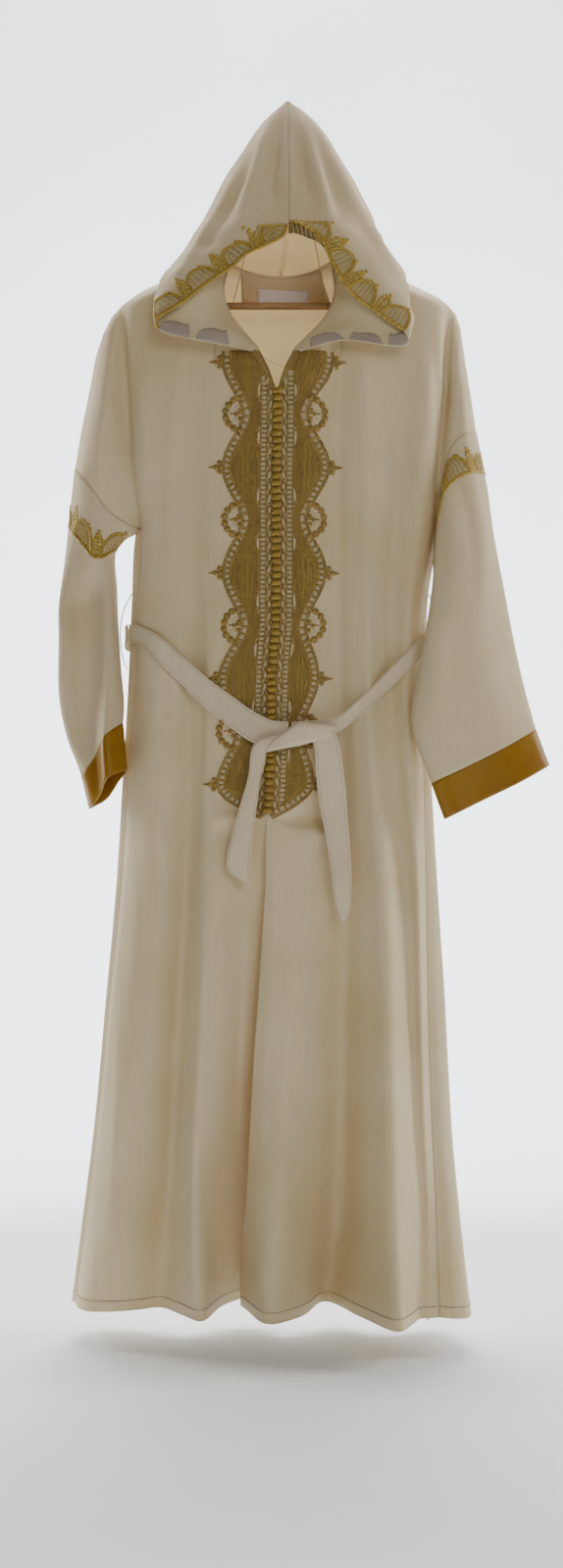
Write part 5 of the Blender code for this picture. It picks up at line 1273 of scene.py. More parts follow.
gold = {
    "border": 10.6, "rungPitch": 8.4,
    "ladder": (13.4, 22.0), "ladderPitch": 6.3,
    "braid": 9.2, "braidPitch": 15.7, "braidSwing": 2.3,
    "fillStart": 23.8, "slitWide": 3.4, "slitHalf": 13.0, "slitAway": 29.0,
    "fillLines": 13, "fillLift": 1.2, "top": -337.0,
    "waists": (-421.5, -562.5, -703.5, -844.5), "points": (-351.0, -492.0, -633.0, -774.0, -915.0),
    "loopRadius": 21.5, "loopBead": 5.0, "tipBead": 3.7, "tipReach": 19.0,
    "fillEnd": -950.0, "ladderEnd": -955.0, "braidTop": -372.0, "braidEnd": -956.0, "neckEnd": -388.0,
}


def vDistance(side, z):
    # how far the opening's edge stands from the middle line in the neck's V
    z = np.atleast_1d(np.asarray(z, float))
    return np.array([abs(centreAt(sides[side]["centre"], one)[0] - centreAt(centreShared, one)[0])
                     if one > cut["neckV"] else 0.0 for one in z])


def onFront(side, s, z, lift):
    s, z = asRows(s, z)
    middle = np.interp(z, [row[0] for row in centreShared][::-1], [row[1] for row in centreShared][::-1])
    return dropOn(trees[side], middle + sides[side]["sign"] * s, z, lift)


def outlineOf(side):
    # outer edge of the embroidery, evenly spaced, closing at the bottom point
    last, foot = scallop["lastPoint"], cut["embroideryEnd"] + 0.4
    heights = np.concatenate([np.linspace(gold["top"], last, 240), np.linspace(last, foot, 60)[1:]])
    line = np.array([(scallopWidth(side, z), z) for z in heights])
    line[:, 0] = np.maximum(line[:, 0], 0.4)
    total = runLength(line)[-1]
    return polyline(line, np.linspace(0, 1, int(total / 2)))


def offsetIn(line, distance):
    # the same edge moved towards the opening; loops that fold back are left out
    tangent = unit(np.gradient(line, axis=0))
    moved = line + distance * np.column_stack([tangent[:, 1], -tangent[:, 0]])
    keep, low = [], 1e9
    for point in moved:
        if point[1] < low - 0.2:
            keep.append(point)
            low = point[1]
    return np.array(keep)


def addTile(bundle, placed, wide, long, height):
    # a rounded square of satin stitch at the first placed point, its length towards the second
    (centre, ahead), (normal, _) = placed
    normal = unit(normal)
    second = unit(ahead - centre - normal * np.dot(ahead - centre, normal))
    first = np.cross(normal, second)
    angle = 2 * math.pi * (np.arange(12) + 0.5) / 12
    c, s = np.cos(angle), np.sin(angle)
    corner = (np.abs(c) ** 4 + np.abs(s) ** 4) ** -0.25
    outline = wide * c[:, None] * first + long * s[:, None] * second
    rings = [centre + normal * lift + (reach * corner)[:, None] * outline
             for reach, lift in ((1.0, 0.0), (0.92, 0.75 * height), (0.5, height))]
    addRings(bundle, np.array(rings))


outlines = {side: outlineOf(side) for side in sides}
insides = {side: offsetIn(outlines[side], gold["border"]) for side in sides}


def outerAt(side, z):
    # where the border's inner cord runs
    return np.interp(-np.asarray(z, float), -insides[side][:, 1], insides[side][:, 0])


def innerAt(side, z):
    # inner edge of the fill, with lens-shaped gaps beside each waist
    z = np.atleast_1d(np.asarray(z, float))
    spread = vDistance(side, z)
    start = np.where(0.5 * sum(gold["ladder"]) < spread + 10, spread + 8.5, gold["fillStart"])
    for waist in gold["waists"]:
        for way in (-1, 1):
            share = (z - (waist + way * gold["slitAway"])) / gold["slitHalf"]
            start += gold["slitWide"] * np.sqrt(np.clip(1 - share ** 2, 0, 1))
    return np.maximum(start, spread + 8.5)


def addBorder(side, threads, tiles):
    # outer border: two cords with tiles and rungs between them
    line = outlines[side]
    for distance, radius in ((0.6, 1.1), (2.2, 0.7), (gold["border"] - 1.4, 0.75), (gold["border"], 1.1)):
        edge = offsetIn(line, distance) if distance > 1 else line
        edge = edge[edge[:, 0] > vDistance(side, edge[:, 1]) + 1.0]
        layThread(threads, onFront(side, *edge.T, 1.0), radius)
    steps = runLength(line)
    tangent = unit(np.gradient(line, axis=0))
    for run in np.arange(4.0, steps[-1] - 6.0, gold["rungPitch"]):
        for shift, kind in ((0.0, "tile"), (gold["rungPitch"] / 2, "rung")):
            at = run + shift
            spot = np.array([np.interp(at, steps, line[:, k]) for k in (0, 1)])
            way = unit(np.array([np.interp(at, steps, tangent[:, k]) for k in (0, 1)]))
            inward = np.array([way[1], -way[0]])
            if kind == "rung":
                ends = np.array([spot + inward * d for d in (2.4, 4.4, 6.4, gold["border"] - 1.8)])
                layThread(threads, onFront(side, *ends.T, 0.7), 1.55)
            else:
                middle = spot + inward * (gold["border"] / 2 + 0.4)
                addTile(tiles, onFront(side, *zip(middle, middle + way), 0.15), 3.4, 2.1, 0.7)


def addFill(side, threads, bright):
    # a little domed ground under lines of thread, with feather lines at the points whose paler gold is a
    # painted highlight
    node = "embroidery_" + side
    heights = np.arange(gold["top"], gold["fillEnd"], -2.5)
    room = outerAt(side, heights) - innerAt(side, heights)
    heights = heights[:int(np.argmax(room < 1.5)) or len(heights)]
    low, high = innerAt(side, heights), outerAt(side, heights)
    share = np.linspace(0, 1, 9)
    s = low[:, None] + (high - low)[:, None] * share
    dome = np.sin(math.pi * np.clip(share, 0.02, 0.98)) ** 0.5 * np.minimum((high - low)[:, None] / 26, 1)
    lift = 0.3 + gold["fillLift"] * dome
    points, _ = onFront(side, s.ravel(), np.repeat(heights, len(share)), lift.ravel())
    pad = points.reshape(s.shape + (3,))
    verts, faces = joinGrids([pad], side == "right")
    padPiece = addPiece("embroideryGround" + side.capitalize(), verts, faces, ("ground",), node)
    addShell(padPiece, "felt", 0.5, -1.0)
    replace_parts(padPiece, node)
    for k in range(gold["fillLines"]):
        t = (k + 0.5) / gold["fillLines"]
        sway = 0.35 * np.sin(heights / 9.0 + 2.1 * k)
        place = low + (high - low) * t + sway
        up = 0.45 + gold["fillLift"] * math.sin(math.pi * t) ** 0.5 * np.minimum((high - low) / 26, 1)
        layThread(threads, onFront(side, place, heights, up), np.clip(0.042 * (high - low), 0.6, 1.3))
    # the feather lines are the embroidery's own, laid in the paler trim gold as a painted highlight along the
    # fill
    for point in gold["points"][:4]:
        for t, half in ((0.44, 34), (0.62, 30)):
            z = np.linspace(point + half, point - half, 22)
            z = z[z < gold["top"] - 2]
            a, b = innerAt(side, z), outerAt(side, z)
            bend = t + 0.12 * np.sin((z - point) / half * math.pi / 2) ** 2 - 0.06
            layThread(bright, onFront(side, a + (b - a) * bend, z, 2.3), 0.75)
    edge = innerAt(side, heights)
    layThread(threads, onFront(side, edge - 0.2, heights, 0.9), 0.95)
    for waist in gold["waists"]:
        for way in (-1, 1):
            z = waist + way * gold["slitAway"]
            if z > gold["braidTop"] or outerAt(side, z) < 34:
                continue
            # a small curl that closes the gap
            turn = np.linspace(0, 2.4 * math.pi, 20)
            radius = 2.6 - 0.6 * turn / turn[-1]
            end = z - way * 7.0
            curl = onFront(side, gold["fillStart"] + 1.9 + radius * np.cos(turn),
                           end + radius * np.sin(turn) * way, 1.0)
            layThread(threads, curl, 0.8, sides=4)


def addLadder(side, threads, tiles):
    # inner ladder of small tiles
    heights = np.arange(gold["top"] - 4, gold["ladderEnd"], -2.5)
    for s in gold["ladder"]:
        ok = (s > vDistance(side, heights) + 7.0) & (s < outerAt(side, heights) + 1.0)
        layThread(threads, onFront(side, s, heights[ok], 0.9), 1.0)
    centre = 0.5 * sum(gold["ladder"])
    rung = np.linspace(gold["ladder"][0] + 1, gold["ladder"][1] - 1, 4)
    for z in np.arange(gold["top"] - 6, gold["ladderEnd"], -gold["ladderPitch"]):
        if centre < vDistance(side, z)[0] + 10 or gold["ladder"][1] > outerAt(side, z) + 1.0:
            continue
        addTile(tiles, onFront(side, [centre, centre], [z, z - 1], 0.2), 3.0, 1.75, 0.9)
        layThread(threads, onFront(side, rung, z - gold["ladderPitch"] / 2, 0.6), 1.0)


def addBraid(side, threads, tiles):
    # braid beside the buttons: two crossing strands with slanted white eyes
    heights = np.arange(gold["braidTop"], gold["braidEnd"], -1.8)
    turn = math.pi * heights / gold["braidPitch"]
    for way in (-1, 1):
        swing = way * gold["braidSwing"] * np.cos(turn)
        place = gold["braid"] + swing + np.maximum(vDistance(side, heights) - 2, 0)
        ok = place < outerAt(side, heights) + 8
        layThread(threads, onFront(side, place[ok], heights[ok], 1.1 + 0.5 * way * np.sin(2 * turn[ok])), 1.0)
    for z in np.arange(gold["braidTop"] - 5, gold["fillEnd"], -gold["braidPitch"]):
        place = gold["braid"] + max(vDistance(side, z)[0] - 2, 0)
        if place > outerAt(side, z) + 6:
            continue
        addTile(tiles, onFront(side, [place, place + 0.25], [z, z - 1], 0.2), 2.2, 5.2, 1.7)


def addNeckEdge(side, threads, tiles):
    # edging of the neck's V: three cords with small stitches between
    heights = np.linspace(gold["top"], gold["neckEnd"], 30)
    v = vDistance(side, heights)
    for away, radius in ((1.4, 1.2), (4.0, 0.9), (6.8, 1.2)):
        layThread(threads, onFront(side, v + away, heights, 0.9), radius)
    for z in np.arange(gold["top"] - 2, gold["neckEnd"] + 4, -4.4):
        spread = vDistance(side, z)[0]
        addTile(tiles, onFront(side, [spread + 5.4, spread + 6.0], [z, z - 1.6], 0.3), 0.8, 1.5, 0.7)


def addBeads(side, threads, tiles):
    # loops of beads at the waists and pointed tips at the widest places
    def bead(s, z, radius, height, lobes):
        points, normals = onFront(side, [s], [z], 0.2)
        addBead(threads, points[0], normals[0], radius, height, lobes)
        addBead(threads, points[0] + normals[0] * height * 0.7, normals[0], radius * 0.42, 1.1, 0)

    for waist in gold["waists"]:
        middle = scallopWidth(side, waist) + 2.0
        for angle in np.radians(np.linspace(-84, 84, 8)):
            bead(middle + gold["loopRadius"] * math.cos(angle), waist + gold["loopRadius"] * math.sin(angle),
                 gold["loopBead"], 2.2, 0)
        for way in (-1, 1):
            spots = onFront(side, [middle + 7.0, middle + 7.9], [waist + way * 8.6, waist + way * 7.9], 0.15)
            addTile(tiles, spots, 2.6, 5.2, 0.45)
        for s, z in ((7.0, 0.0), (2.2, 5.0), (2.2, -5.6)):
            bead(middle + s, waist + z, 3.2, 1.7, 5)
        sway = 0.8 * np.sin(np.linspace(0, 3, 8))
        layThread(threads, onFront(side, np.linspace(middle + 15, middle - 2, 8), waist + sway, 0.8), 1.0)
    for point in gold["points"]:
        edge = scallopWidth(side, point)
        for s, z in ((4.2, 6.2), (4.2, -6.2), (9.0, 0.0), (3.0, 0.0)):
            bead(edge + s, point + z, gold["tipBead"], 1.9, 5)
        reach = np.linspace(edge + 10, edge + gold["tipReach"], 8)
        layThread(threads, onFront(side, reach, point, 0.9), np.linspace(2.6, 0.4, 8), sides=8, flat=0.7)


def makeEmbroidery(side):
    threads, tiles, bright = newBundle(), newBundle(), newBundle()
    addBorder(side, threads, tiles)
    addFill(side, threads, bright)
    for addStage in (addLadder, addBraid, addNeckEdge, addBeads):
        addStage(side, threads, tiles)
    for bundle, kind, material in ((threads, "Thread", "gold"), (tiles, "Tiles", "silk"),
                                   (bright, "Feather", "trim")):
        bundlePiece(bundle, "embroidery" + kind + side.capitalize(), material, "embroidery_" + side)


for side in sides:
    makeEmbroidery(side)
print("embroidery made")


# Knotted buttons down the opening

button = {"top": -391.0, "bottom": -950.0, "count": 60, "half": (6.6, 4.9, 4.9), "groove": 0.05, "turns": 4}


def addKnot(bundle, centre, tilt):
    rows, sidesRound = 12, 18
    theta = np.linspace(0.08, math.pi - 0.08, rows)[:, None]
    angle = 2 * math.pi * np.arange(sidesRound)[None, :] / sidesRound
    # the wrapped cord shows as turns that run round the knot
    swell = 1 + button["groove"] * np.cos(button["turns"] * 2 * (theta + 0.5 * np.sin(angle + tilt)))
    a, b, c = button["half"]
    box = np.abs(np.cos(theta)) ** 0.75 * np.sign(np.cos(theta))
    x = a * box * swell
    y = b * np.sin(theta) ** 0.75 * np.cos(angle) * swell
    z = c * np.sin(theta) ** 0.75 * np.sin(angle) * swell
    rings = np.stack([x + 0 * angle, y, z + x * math.sin(tilt) * 0.12], -1) + centre
    addRings(bundle, rings)


knots, cords = newBundle(), newBundle()
for k, z in enumerate(np.linspace(button["top"], button["bottom"], button["count"])):
    x, y = centreAt(sides["left"]["centre"], z)
    addKnot(knots, np.array([x + 0.4 * math.sin(1.7 * k), y - 4.2, z]), 0.5 * math.sin(2.3 * k))
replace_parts(bundlePiece(knots, "buttonKnots", "button", "button_row"), "button_row")
z = np.linspace(button["top"] + 6, button["bottom"] - 8, 260)
middle = np.array([centreAt(sides["left"]["centre"], one) for one in z])
for way in (-1, 1):
    swing = way * (5.6 + 0.5 * np.cos(2 * math.pi * (z - button["top"]) / 9.47))
    addThread(cords, np.column_stack([middle[:, 0] + swing, middle[:, 1] - 1.6, z]), 1.0)
bundlePiece(cords, "buttonCords", "gold", "button_row")
print("buttons made")


# Gold trim along the hood's face and round the sleeves

trim = {
    "period": 60.0, "arch": (22.5, 27.0), "cluster": 51.0, "lift": 0.5, "hoodRows": (21, 76), "sleeveRow": 12,
    # place, height and radius of the finial's beads; height and half width of a cluster's rows of beads
    "finial": ((0.0, 25.5, 2.6), (-3.0, 29.0, 2.3), (3.0, 29.0, 2.3), (0.0, 32.6, 2.4)),
    "spreads": ((5.0, 5.6), (10.0, 4.6), (15.0, 5.4), (20.0, 6.0), (25.0, 4.4), (30.0, 2.4), (35.0, 0.0)),
}


def sampleGrid(grid, r, c):
    r = np.clip(r, 0, grid.shape[0] - 1.0001)
    c = np.clip(c, 0, grid.shape[1] - 1.0001)
    i, j = r.astype(int), c.astype(int)
    u, v = (r - i)[:, None], (c - j)[:, None]
    return ((1 - u) * ((1 - v) * grid[i, j] + v * grid[i, j + 1])
            + u * ((1 - v) * grid[i + 1, j] + v * grid[i + 1, j + 1]))


def hoodPlace(side, firstRow, lastRow):
    # a runs down the face edge from the arch, b goes in from the edge over the cloth
    grid = hoods[side][0]
    normals = outwardNormals(grid, hoodMiddle)
    rows = np.arange(firstRow, lastRow + 1)
    lengths = runLength(grid[rows, 0])
    reach = [runLength(grid[row]) for row in range(len(grid))]
    columns = np.arange(grid.shape[1])
    # the rows meet the edge at a slant, so a step straight in from it also runs along it
    tangent = unit(np.gradient(grid[rows, 0], axis=0))
    slants = np.clip((tangent * unit(grid[rows, 5] - grid[rows, 0])).sum(-1), -0.8, 0.8)
    slants = np.convolve(np.pad(slants, 4, mode="edge"), np.ones(9) / 9, mode="valid")

    def place(a, b, lift, way=1.0):
        a, b = asRows(a, b)
        slant = np.interp(a, lengths, slants)
        lean = np.sqrt(1 - slant ** 2)
        r = np.interp(a - b * slant / lean, lengths, rows.astype(float))
        near = np.rint(r).astype(int)
        c = np.array([np.interp(max(inward, 0), reach[k], columns) for k, inward in zip(near, b / lean)])
        n = way * unit(sampleGrid(normals, r, c))
        return sampleGrid(grid, r, c) + n * np.broadcast_to(lift, a.shape)[:, None], n
    return place, lengths[-1]


def sleevePlace(side):
    # a runs round the sleeve, b goes up it from the trim's edge
    tube = sleeves[side]["tube"]
    normals = outwardNormals(tube, tube.mean(axis=1, keepdims=True))
    edge = trim["sleeveRow"]
    lengths = runLength(tube[edge])
    columns = np.arange(tube.shape[1])
    up = [runLength(tube[edge::-1, column]) for column in columns]

    def place(a, b, lift):
        a, b = asRows(a, b)
        c = np.interp(a, lengths, columns)
        near = np.rint(c).astype(int)
        r = np.array([edge - np.interp(above, up[k], np.arange(edge + 1)) for k, above in zip(near, b)])
        n = unit(sampleGrid(normals, r, c))
        return sampleGrid(tube, r, c) + n * np.broadcast_to(lift, a.shape)[:, None], n
    return place, lengths[-1]


def makeTrim(name, node, place, length, mirror):
    threads, net = newBundle(), newBundle()
    count = round(length / trim["period"])
    period = length / count
    wide, tall = trim["arch"]
    wide *= period / trim["period"]
    way, first = (-1.0, 0.61) if mirror else (1.0, 0.39)
    span = np.linspace(0.0, length, int(length / 2.5))
    for b, radius in ((0.8, 2.0), (3.8, 1.1)):
        layThread(threads, place(span, b, trim["lift"] + 0.4), radius)
    for k in range(count):
        middle = (k + first) * period
        turn = np.linspace(0, math.pi, 26)
        for scale, radius in ((1.0, 1.6), (0.88, 1.0)):
            layThread(threads, place(middle - way * wide * scale * np.cos(turn),
                                     3.5 + tall * scale * np.sin(turn) ** 0.85, trim["lift"] + 0.6), radius)
        # slanted net inside the arch
        for step in range(-8, 9):
            foot = step / 9.0 * wide
            head = np.clip(step / 9.0 + 0.12, -0.93, 0.93) * wide * 0.86
            top = 3.5 + tall * 0.86 * (1 - (head / (wide * 0.86)) ** 2) ** 0.42
            strand = place(middle + way * np.linspace(foot, head, 6), np.linspace(3.6, top, 6),
                           trim["lift"] + 0.3)
            layThread(net if step % 3 == 0 else threads, strand, 0.8, sides=4)
        # beads: a small finial on the arch, and a tall cluster between this arch and the next
        finial = -0.42 * wide
        beads = [(finial + spot, b, radius) for spot, b, radius in trim["finial"]]
        away = trim["cluster"] * period / trim["period"] - 0.39 * period
        for b, spread in trim["spreads"]:
            beads += [(away + spot, b, 3.2) for spot in ((-spread, 0.0, spread) if spread else (0.0,))]
        for a, b, radius in beads:
            if 1 < middle + way * a < length - 1:
                points, normals = place([middle + way * a], [b], trim["lift"] * 0.4)
                addBead(threads, points[0], normals[0], radius, 1.9, 5, sides=10)
    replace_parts(bundlePiece(threads, name + "Thread", "trim", node), node)
    bundlePiece(net, name + "Net", "silk", node)


def addPatch(bundle, points, across, deep):
    bundle["verts"].append(points)
    bundle["faces"] += quadsOf(bundle["size"] + np.arange(across * deep).reshape(across, deep)).tolist()
    bundle["size"] += across * deep


# the backing of the trim: grey arches on the turned lapels, and a dark brown band under the top of the face,
# the trim's backing darkened as painted shade inside the hood's top
backing = {"rows": (76, 91), "period": 52.0, "half": 22.0, "tall": 17.0, "topRows": (21, 46),
           "fall": (0.0, 11.0, -13.0)}


def makeBacking(side):
    patches = newBundle()
    place, length = hoodPlace(side, *backing["rows"])
    across = np.linspace(-1, 1, 17)
    tall = 3.0 + backing["tall"] * (1 - across ** 2) ** 0.45 + 6.0 * np.exp(-((across - 0.7) / 0.13) ** 2)
    for middle in np.arange(backing["half"], length - 8.0, backing["period"]):
        a = np.clip(middle + across * backing["half"], 0.5, length - 0.5)
        b = 0.8 + np.outer(tall, np.linspace(0, 1, 6))
        points, _ = place(np.repeat(a, 6), b.ravel(), fine["thick"] + 0.35, -1.0)
        addPatch(patches, points, 17, 6)
    if side == "left":
        # the band's dark olive brown stands for the trim's backing together with the shade inside the hood's
        # top: painted shade
        edge = hoods[side][0][slice(*backing["topRows"]), 0]
        fall = (1 - np.linspace(0, 1, len(edge)) ** 2)[:, None] * np.linspace(0.02, 1, 4)
        band = newBundle()
        spots = edge[:, None] + fall[..., None] * np.array(backing["fall"])
        addPatch(band, spots.reshape(-1, 3), len(edge), 4)
        addShell(bundlePiece(band, "hoodTrimBand", "ground", "hood_trim_left"), "stitches", 0.6, 0.0)
    piece = bundlePiece(patches, "hoodTrimUnder" + side.capitalize(), "under", "hood_trim_" + side)
    addShell(piece, "stitches", 0.35, 0.0)


for side in sides:
    name = side.capitalize()
    makeTrim("hoodTrim" + name, "hood_trim_" + side, *hoodPlace(side, *trim["hoodRows"]), side == "left")
    makeBacking(side)
    makeTrim("sleeveTrim" + name, "sleeve_trim_" + side, *sleevePlace(side), side == "left")
print("trims made")


# Belt: a doubled strip tied once in front, its two ends and the loops that carry it. A stretch has
# (x, y) and the z of both edges, and a loop has (x, z) and the y of its two edges.

belt = {
    "right": (
        (-212, -14, -698, -722), (-196, -32, -702, -726), (-170, -54.4, -716, -750),
        (-141, -57.5, -741, -779), (-103, -65.2, -774, -816), (-70, -68.8, -798, -842),
        (-42, -75, -818, -860), (-18, -79, -830, -866), (4, -79.5, -832, -860),
    ),
    "left": (
        (8, -79.5, -832, -858), (40, -78, -830, -854), (62, -75.5, -828, -850), (101, -67, -798, -822),
        (143, -54, -757, -784), (172, -48, -728, -756), (188, -28, -714, -738), (196, -16, -708, -730),
    ),
    "back": (
        (-215, -9, -698, -722), (-219, 8, -700, -730), (-200, 38, -703, -736), (-160, 53, -706, -741),
        (-110, 58, -709, -744), (-50, 60.4, -711, -746), (10, 60.4, -712, -747), (70, 60.4, -712, -747),
        (120, 58, -711, -746), (165, 52, -710, -742), (190, 36, -708, -736), (202, 8, -706, -728),
        (199, -11, -708, -728),
    ),
    "loopRight": ((-209, -656), (-218, -674), (-224, -700), (-224, -724), (-221, -744), (-215, -760)),
    "loopLeft": ((195, -656), (202, -674), (208, -700), (208, -724), (201, -744), (192, -760)),
    "loopEdges": (-11.0, -5.0),
}

# the knot's own edges are (x, z, y), and its tails have both edges' (x, z) and their y
knot = {
    "upper": (
        (68, -837, -79), (58, -836, -86), (40, -835, -91), (17, -834, -94), (-2, -846, -93),
        (-20, -861, -90), (-27, -867, -85),
    ),
    "lower": (
        (66, -853, -79), (56, -854, -86), (40, -858, -91), (19, -863, -94), (0, -867, -93),
        (-18, -871, -90), (-26, -873, -85),
    ),
    "bulge": 4.5, "back": -79.6,
    "tailRight": (
        (-2, -847, -4, -857, -87.5), (-24, -852, -19, -863, -87.5), (-40, -860, -25, -869, -86),
        (-46, -874, -26, -880, -84.5), (-48, -897, -31, -900, -84), (-60, -942, -38, -944, -83),
        (-70, -980, -43, -981, -82), (-77, -1010, -46, -1011, -80.5), (-77, -1026, -47.5, -1027, -79.5),
        (-63, -1040, -48.2, -1039, -79), (-50, -1046, -48.2, -1046, -79),
    ),
    "tailLeft": (
        (30, -845, 62, -836, -84), (38, -866, 69, -855, -84), (40, -898, 76.5, -897, -83),
        (43, -928, 80, -929, -82), (49, -962, 82, -958, -81), (56, -999, 85, -994, -80.5),
        (61, -1036, 87, -1029, -80.5), (66, -1072, 86.5, -1062, -80.5), (69.5, -1087, 84.5, -1083, -80.5),
        (74, -1096, 79, -1095.5, -80.5),
    ),
}
sewn = newBundle()


def addStitches(line, normals, pitch=4.4, long=3.0, radius=0.42):
    # a row of machine stitches along a line on the cloth
    keys = runLength(line)
    for start in np.arange(2.0, keys[-1] - long - 1, pitch):
        at = np.linspace(start, start + long, 4)
        points = np.column_stack([np.interp(at, keys, line[:, k]) for k in range(3)])
        up = np.column_stack([np.interp(at, keys, normals[:, k]) for k in range(3)])
        dip = np.array([-0.25, 0.25, 0.25, -0.25])[:, None]
        addThread(sewn, points + up * dip, radius, up, sides=4)


def stripPiece(name, node, upper, lower, outward, thick, columns, ripple, dome=0.0, seed=0.0, stitched=True):
    # a flat doubled strip between two edges, a little domed and uneven, stitched near each edge
    steps = int(max(runLength(upper)[-1], runLength(lower)[-1]) / 5) + 2
    shares = np.linspace(0, 1, steps)
    first, second = along(upper, shares), along(lower, shares)
    t = np.linspace(0, 1, columns + 1)[None, :]
    grid = first[:, None] * (1 - t[..., None]) + second[:, None] * t[..., None]
    normals = gridNormals(grid)
    flip = np.sum(normals * outward(grid)) < 0
    normals = -normals if flip else normals
    run = runLength(first)[:, None]
    wave = ripple * (np.sin(run / 23.0 + seed + 2.2 * t) + 0.6 * np.sin(run / 9.0 + 1.7 * seed))
    move = dome * np.sin(math.pi * t) + wave * np.sin(math.pi * t) ** 0.5
    move = move * smoothStep(run / 10) * smoothStep((run[-1] - run) / 10)
    grid = grid + normals * move[..., None]
    piece = addPiece(name, *joinGrids([grid], flip), ("tape",), node)
    addShell(piece, "doubled", thick, -1.0)
    edge = piece.modifiers.new("edge", "BEVEL")
    edge.width, edge.segments, edge.limit_method = 0.45 * mm, 2, "ANGLE"
    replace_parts(piece, node)
    for share in (0.09, 0.91) if stitched else ():
        column = int(round(share * columns))
        up = normals[:, column]
        line = grid[:, 0] * (1 - share) + grid[:, -1] * share
        line = line + up * np.sum((grid[:, column] - line) * up, axis=1)[:, None]
        addStitches(line + normals[:, 0] * 0.15, up)
    return piece


def facesFront(grid):
    return np.broadcast_to((0.0, -1.0, 0.0), grid.shape)


def facesOut(grid):
    return grid * (1.0, 1.0, 0.0) - (-5.0, 10.0, 0.0)


strips = {}
for name in ("right", "left", "back"):
    rows = np.array(belt[name], float)
    strips["belt_" + name] = stripPiece("belt" + name.capitalize(), "belt_" + name, rows[:, [0, 1, 2]],
                                        rows[:, [0, 1, 3]], facesOut, 1.8, 10, 0.45, seed=len(name))
for name in ("Right", "Left"):
    rows = np.array(knot["tail" + name], float)
    node = "belt_tail_" + name.lower()
    strips[node] = stripPiece("beltTail" + name, node, rows[:, [0, 4, 1]], rows[:, [2, 4, 3]], facesFront,
                              1.8, 10, 0.4, dome=1.2, seed=(4 + len(name)) * 1.3)
for name in ("Right", "Left"):
    rows = np.array(belt["loop" + name], float)
    near, far = (np.column_stack([rows[:, 0], np.full(len(rows), y), rows[:, 1]]) for y in belt["loopEdges"])
    node = "belt_loop_" + name.lower()
    strips[node] = stripPiece("beltLoop" + name, node, near, far, facesOut, 1.2, 6, 0.1, stitched=False)


def makeKnot():
    # the strip wraps once round both ends: a rounded band with soft folds that run along it
    shares = np.linspace(0, 1, 46)
    upper, lower = (along(np.array(knot[edge], float)[:, [0, 2, 1]], shares) for edge in ("upper", "lower"))
    angle = 2 * math.pi * np.arange(30) / 30
    box = (np.abs(np.cos(angle)) ** 3 + np.abs(np.sin(angle)) ** 3) ** (-1 / 3)
    rings = []
    for k, share in enumerate(shares):
        fold = 1 + 0.05 * np.cos(5 * angle + 2.5 * share) + 0.03 * np.sin(9 * angle - 6 * share)
        depth = knot["bulge"] * (0.6 + 0.4 * math.sin(math.pi * share))
        half = 0.5 * (upper[k] - lower[k])
        ring = 0.5 * (upper[k] + lower[k]) + (np.cos(angle) * box * fold)[:, None] * half
        ring[:, 1] += -depth * np.sin(angle) * box * fold + depth * 0.4
        ring[:, 1] = np.minimum(ring[:, 1], knot["back"])
        rings.append(ring)
    bundle = newBundle()
    addRings(bundle, np.array(rings))
    strips["belt_knot"] = bundlePiece(bundle, "beltKnot", "tape", "belt_knot")
    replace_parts(strips["belt_knot"], "belt_knot")


makeKnot()
print("belt made")


# Neck facing, label, rod and sewing

facing = {"inside": 1.9, "low": -264.0, "columns": (64, 93), "middle": 78}


def makeFacing():
    # a doubled band just inside the back, down to the rod, stitched along its lower edge
    wide = panels["back"][0]
    band = slice(*facing["columns"])
    inward = -gridNormals(wide)
    inward *= np.sign(-inward[:, band, 1].mean())
    last = int(np.sum(wide[:, facing["middle"], 2] > facing["low"])) - 1
    grid = (wide + inward * facing["inside"])[:last + 1, band]
    # its finish is the deeper crepe whose colour is painted shade below the neck seam
    piece = addPiece("neckFacing", *joinGrids([grid], True), ("facing",), "neck_facing")
    addShell(piece, "doubled", 0.9, 0.0)
    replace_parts(piece, "neck_facing")
    up = inward[last - 1, band]
    addStitches(grid[-2] + up * 0.7, up, 4.0)
    return piece


label = {"size": (70.0, 22.0), "centre": (-3.0, -248.0), "tilt": math.radians(-2.5), "lift": 4.7,
         "rows": 9, "columns": 29}


def makeLabel():
    # a bare woven tape on the facing, a little tilted and bowed
    (wide, high), (c, s) = label["size"], (math.cos(label["tilt"]), math.sin(label["tilt"]))
    grid = np.zeros((label["rows"], label["columns"], 3))
    for i, down in enumerate(np.linspace(0.5, -0.5, label["rows"])):
        for j, share in enumerate(np.linspace(0.5, -0.5, label["columns"])):
            x = label["centre"][0] + share * wide * c - down * high * s
            z = label["centre"][1] + share * wide * s + down * high * c
            bow = 0.5 * math.cos(math.pi * share) * math.cos(math.pi * down)
            grid[i, j] = (x, backDepth(x, z) - label["lift"] - bow, z)
    flip = gridNormals(grid)[4, 14, 1] > 0
    piece = addPiece("neckLabel", *joinGrids([grid], bool(flip)), ("label",), "neck_label")
    addShell(piece, "tape", 0.6, -1.0)
    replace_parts(piece, "neck_label")
    for column in (1, -2):
        addStitches(grid[:, column] + (0.0, -0.3, 0.0), facesFront(grid[:, column]), 2.6, 1.8, 0.35)
    return piece


rod = {"half": 210.0, "radius": 5.0, "round": 3.0, "height": -264.1, "sides": 36, "steps": 58}


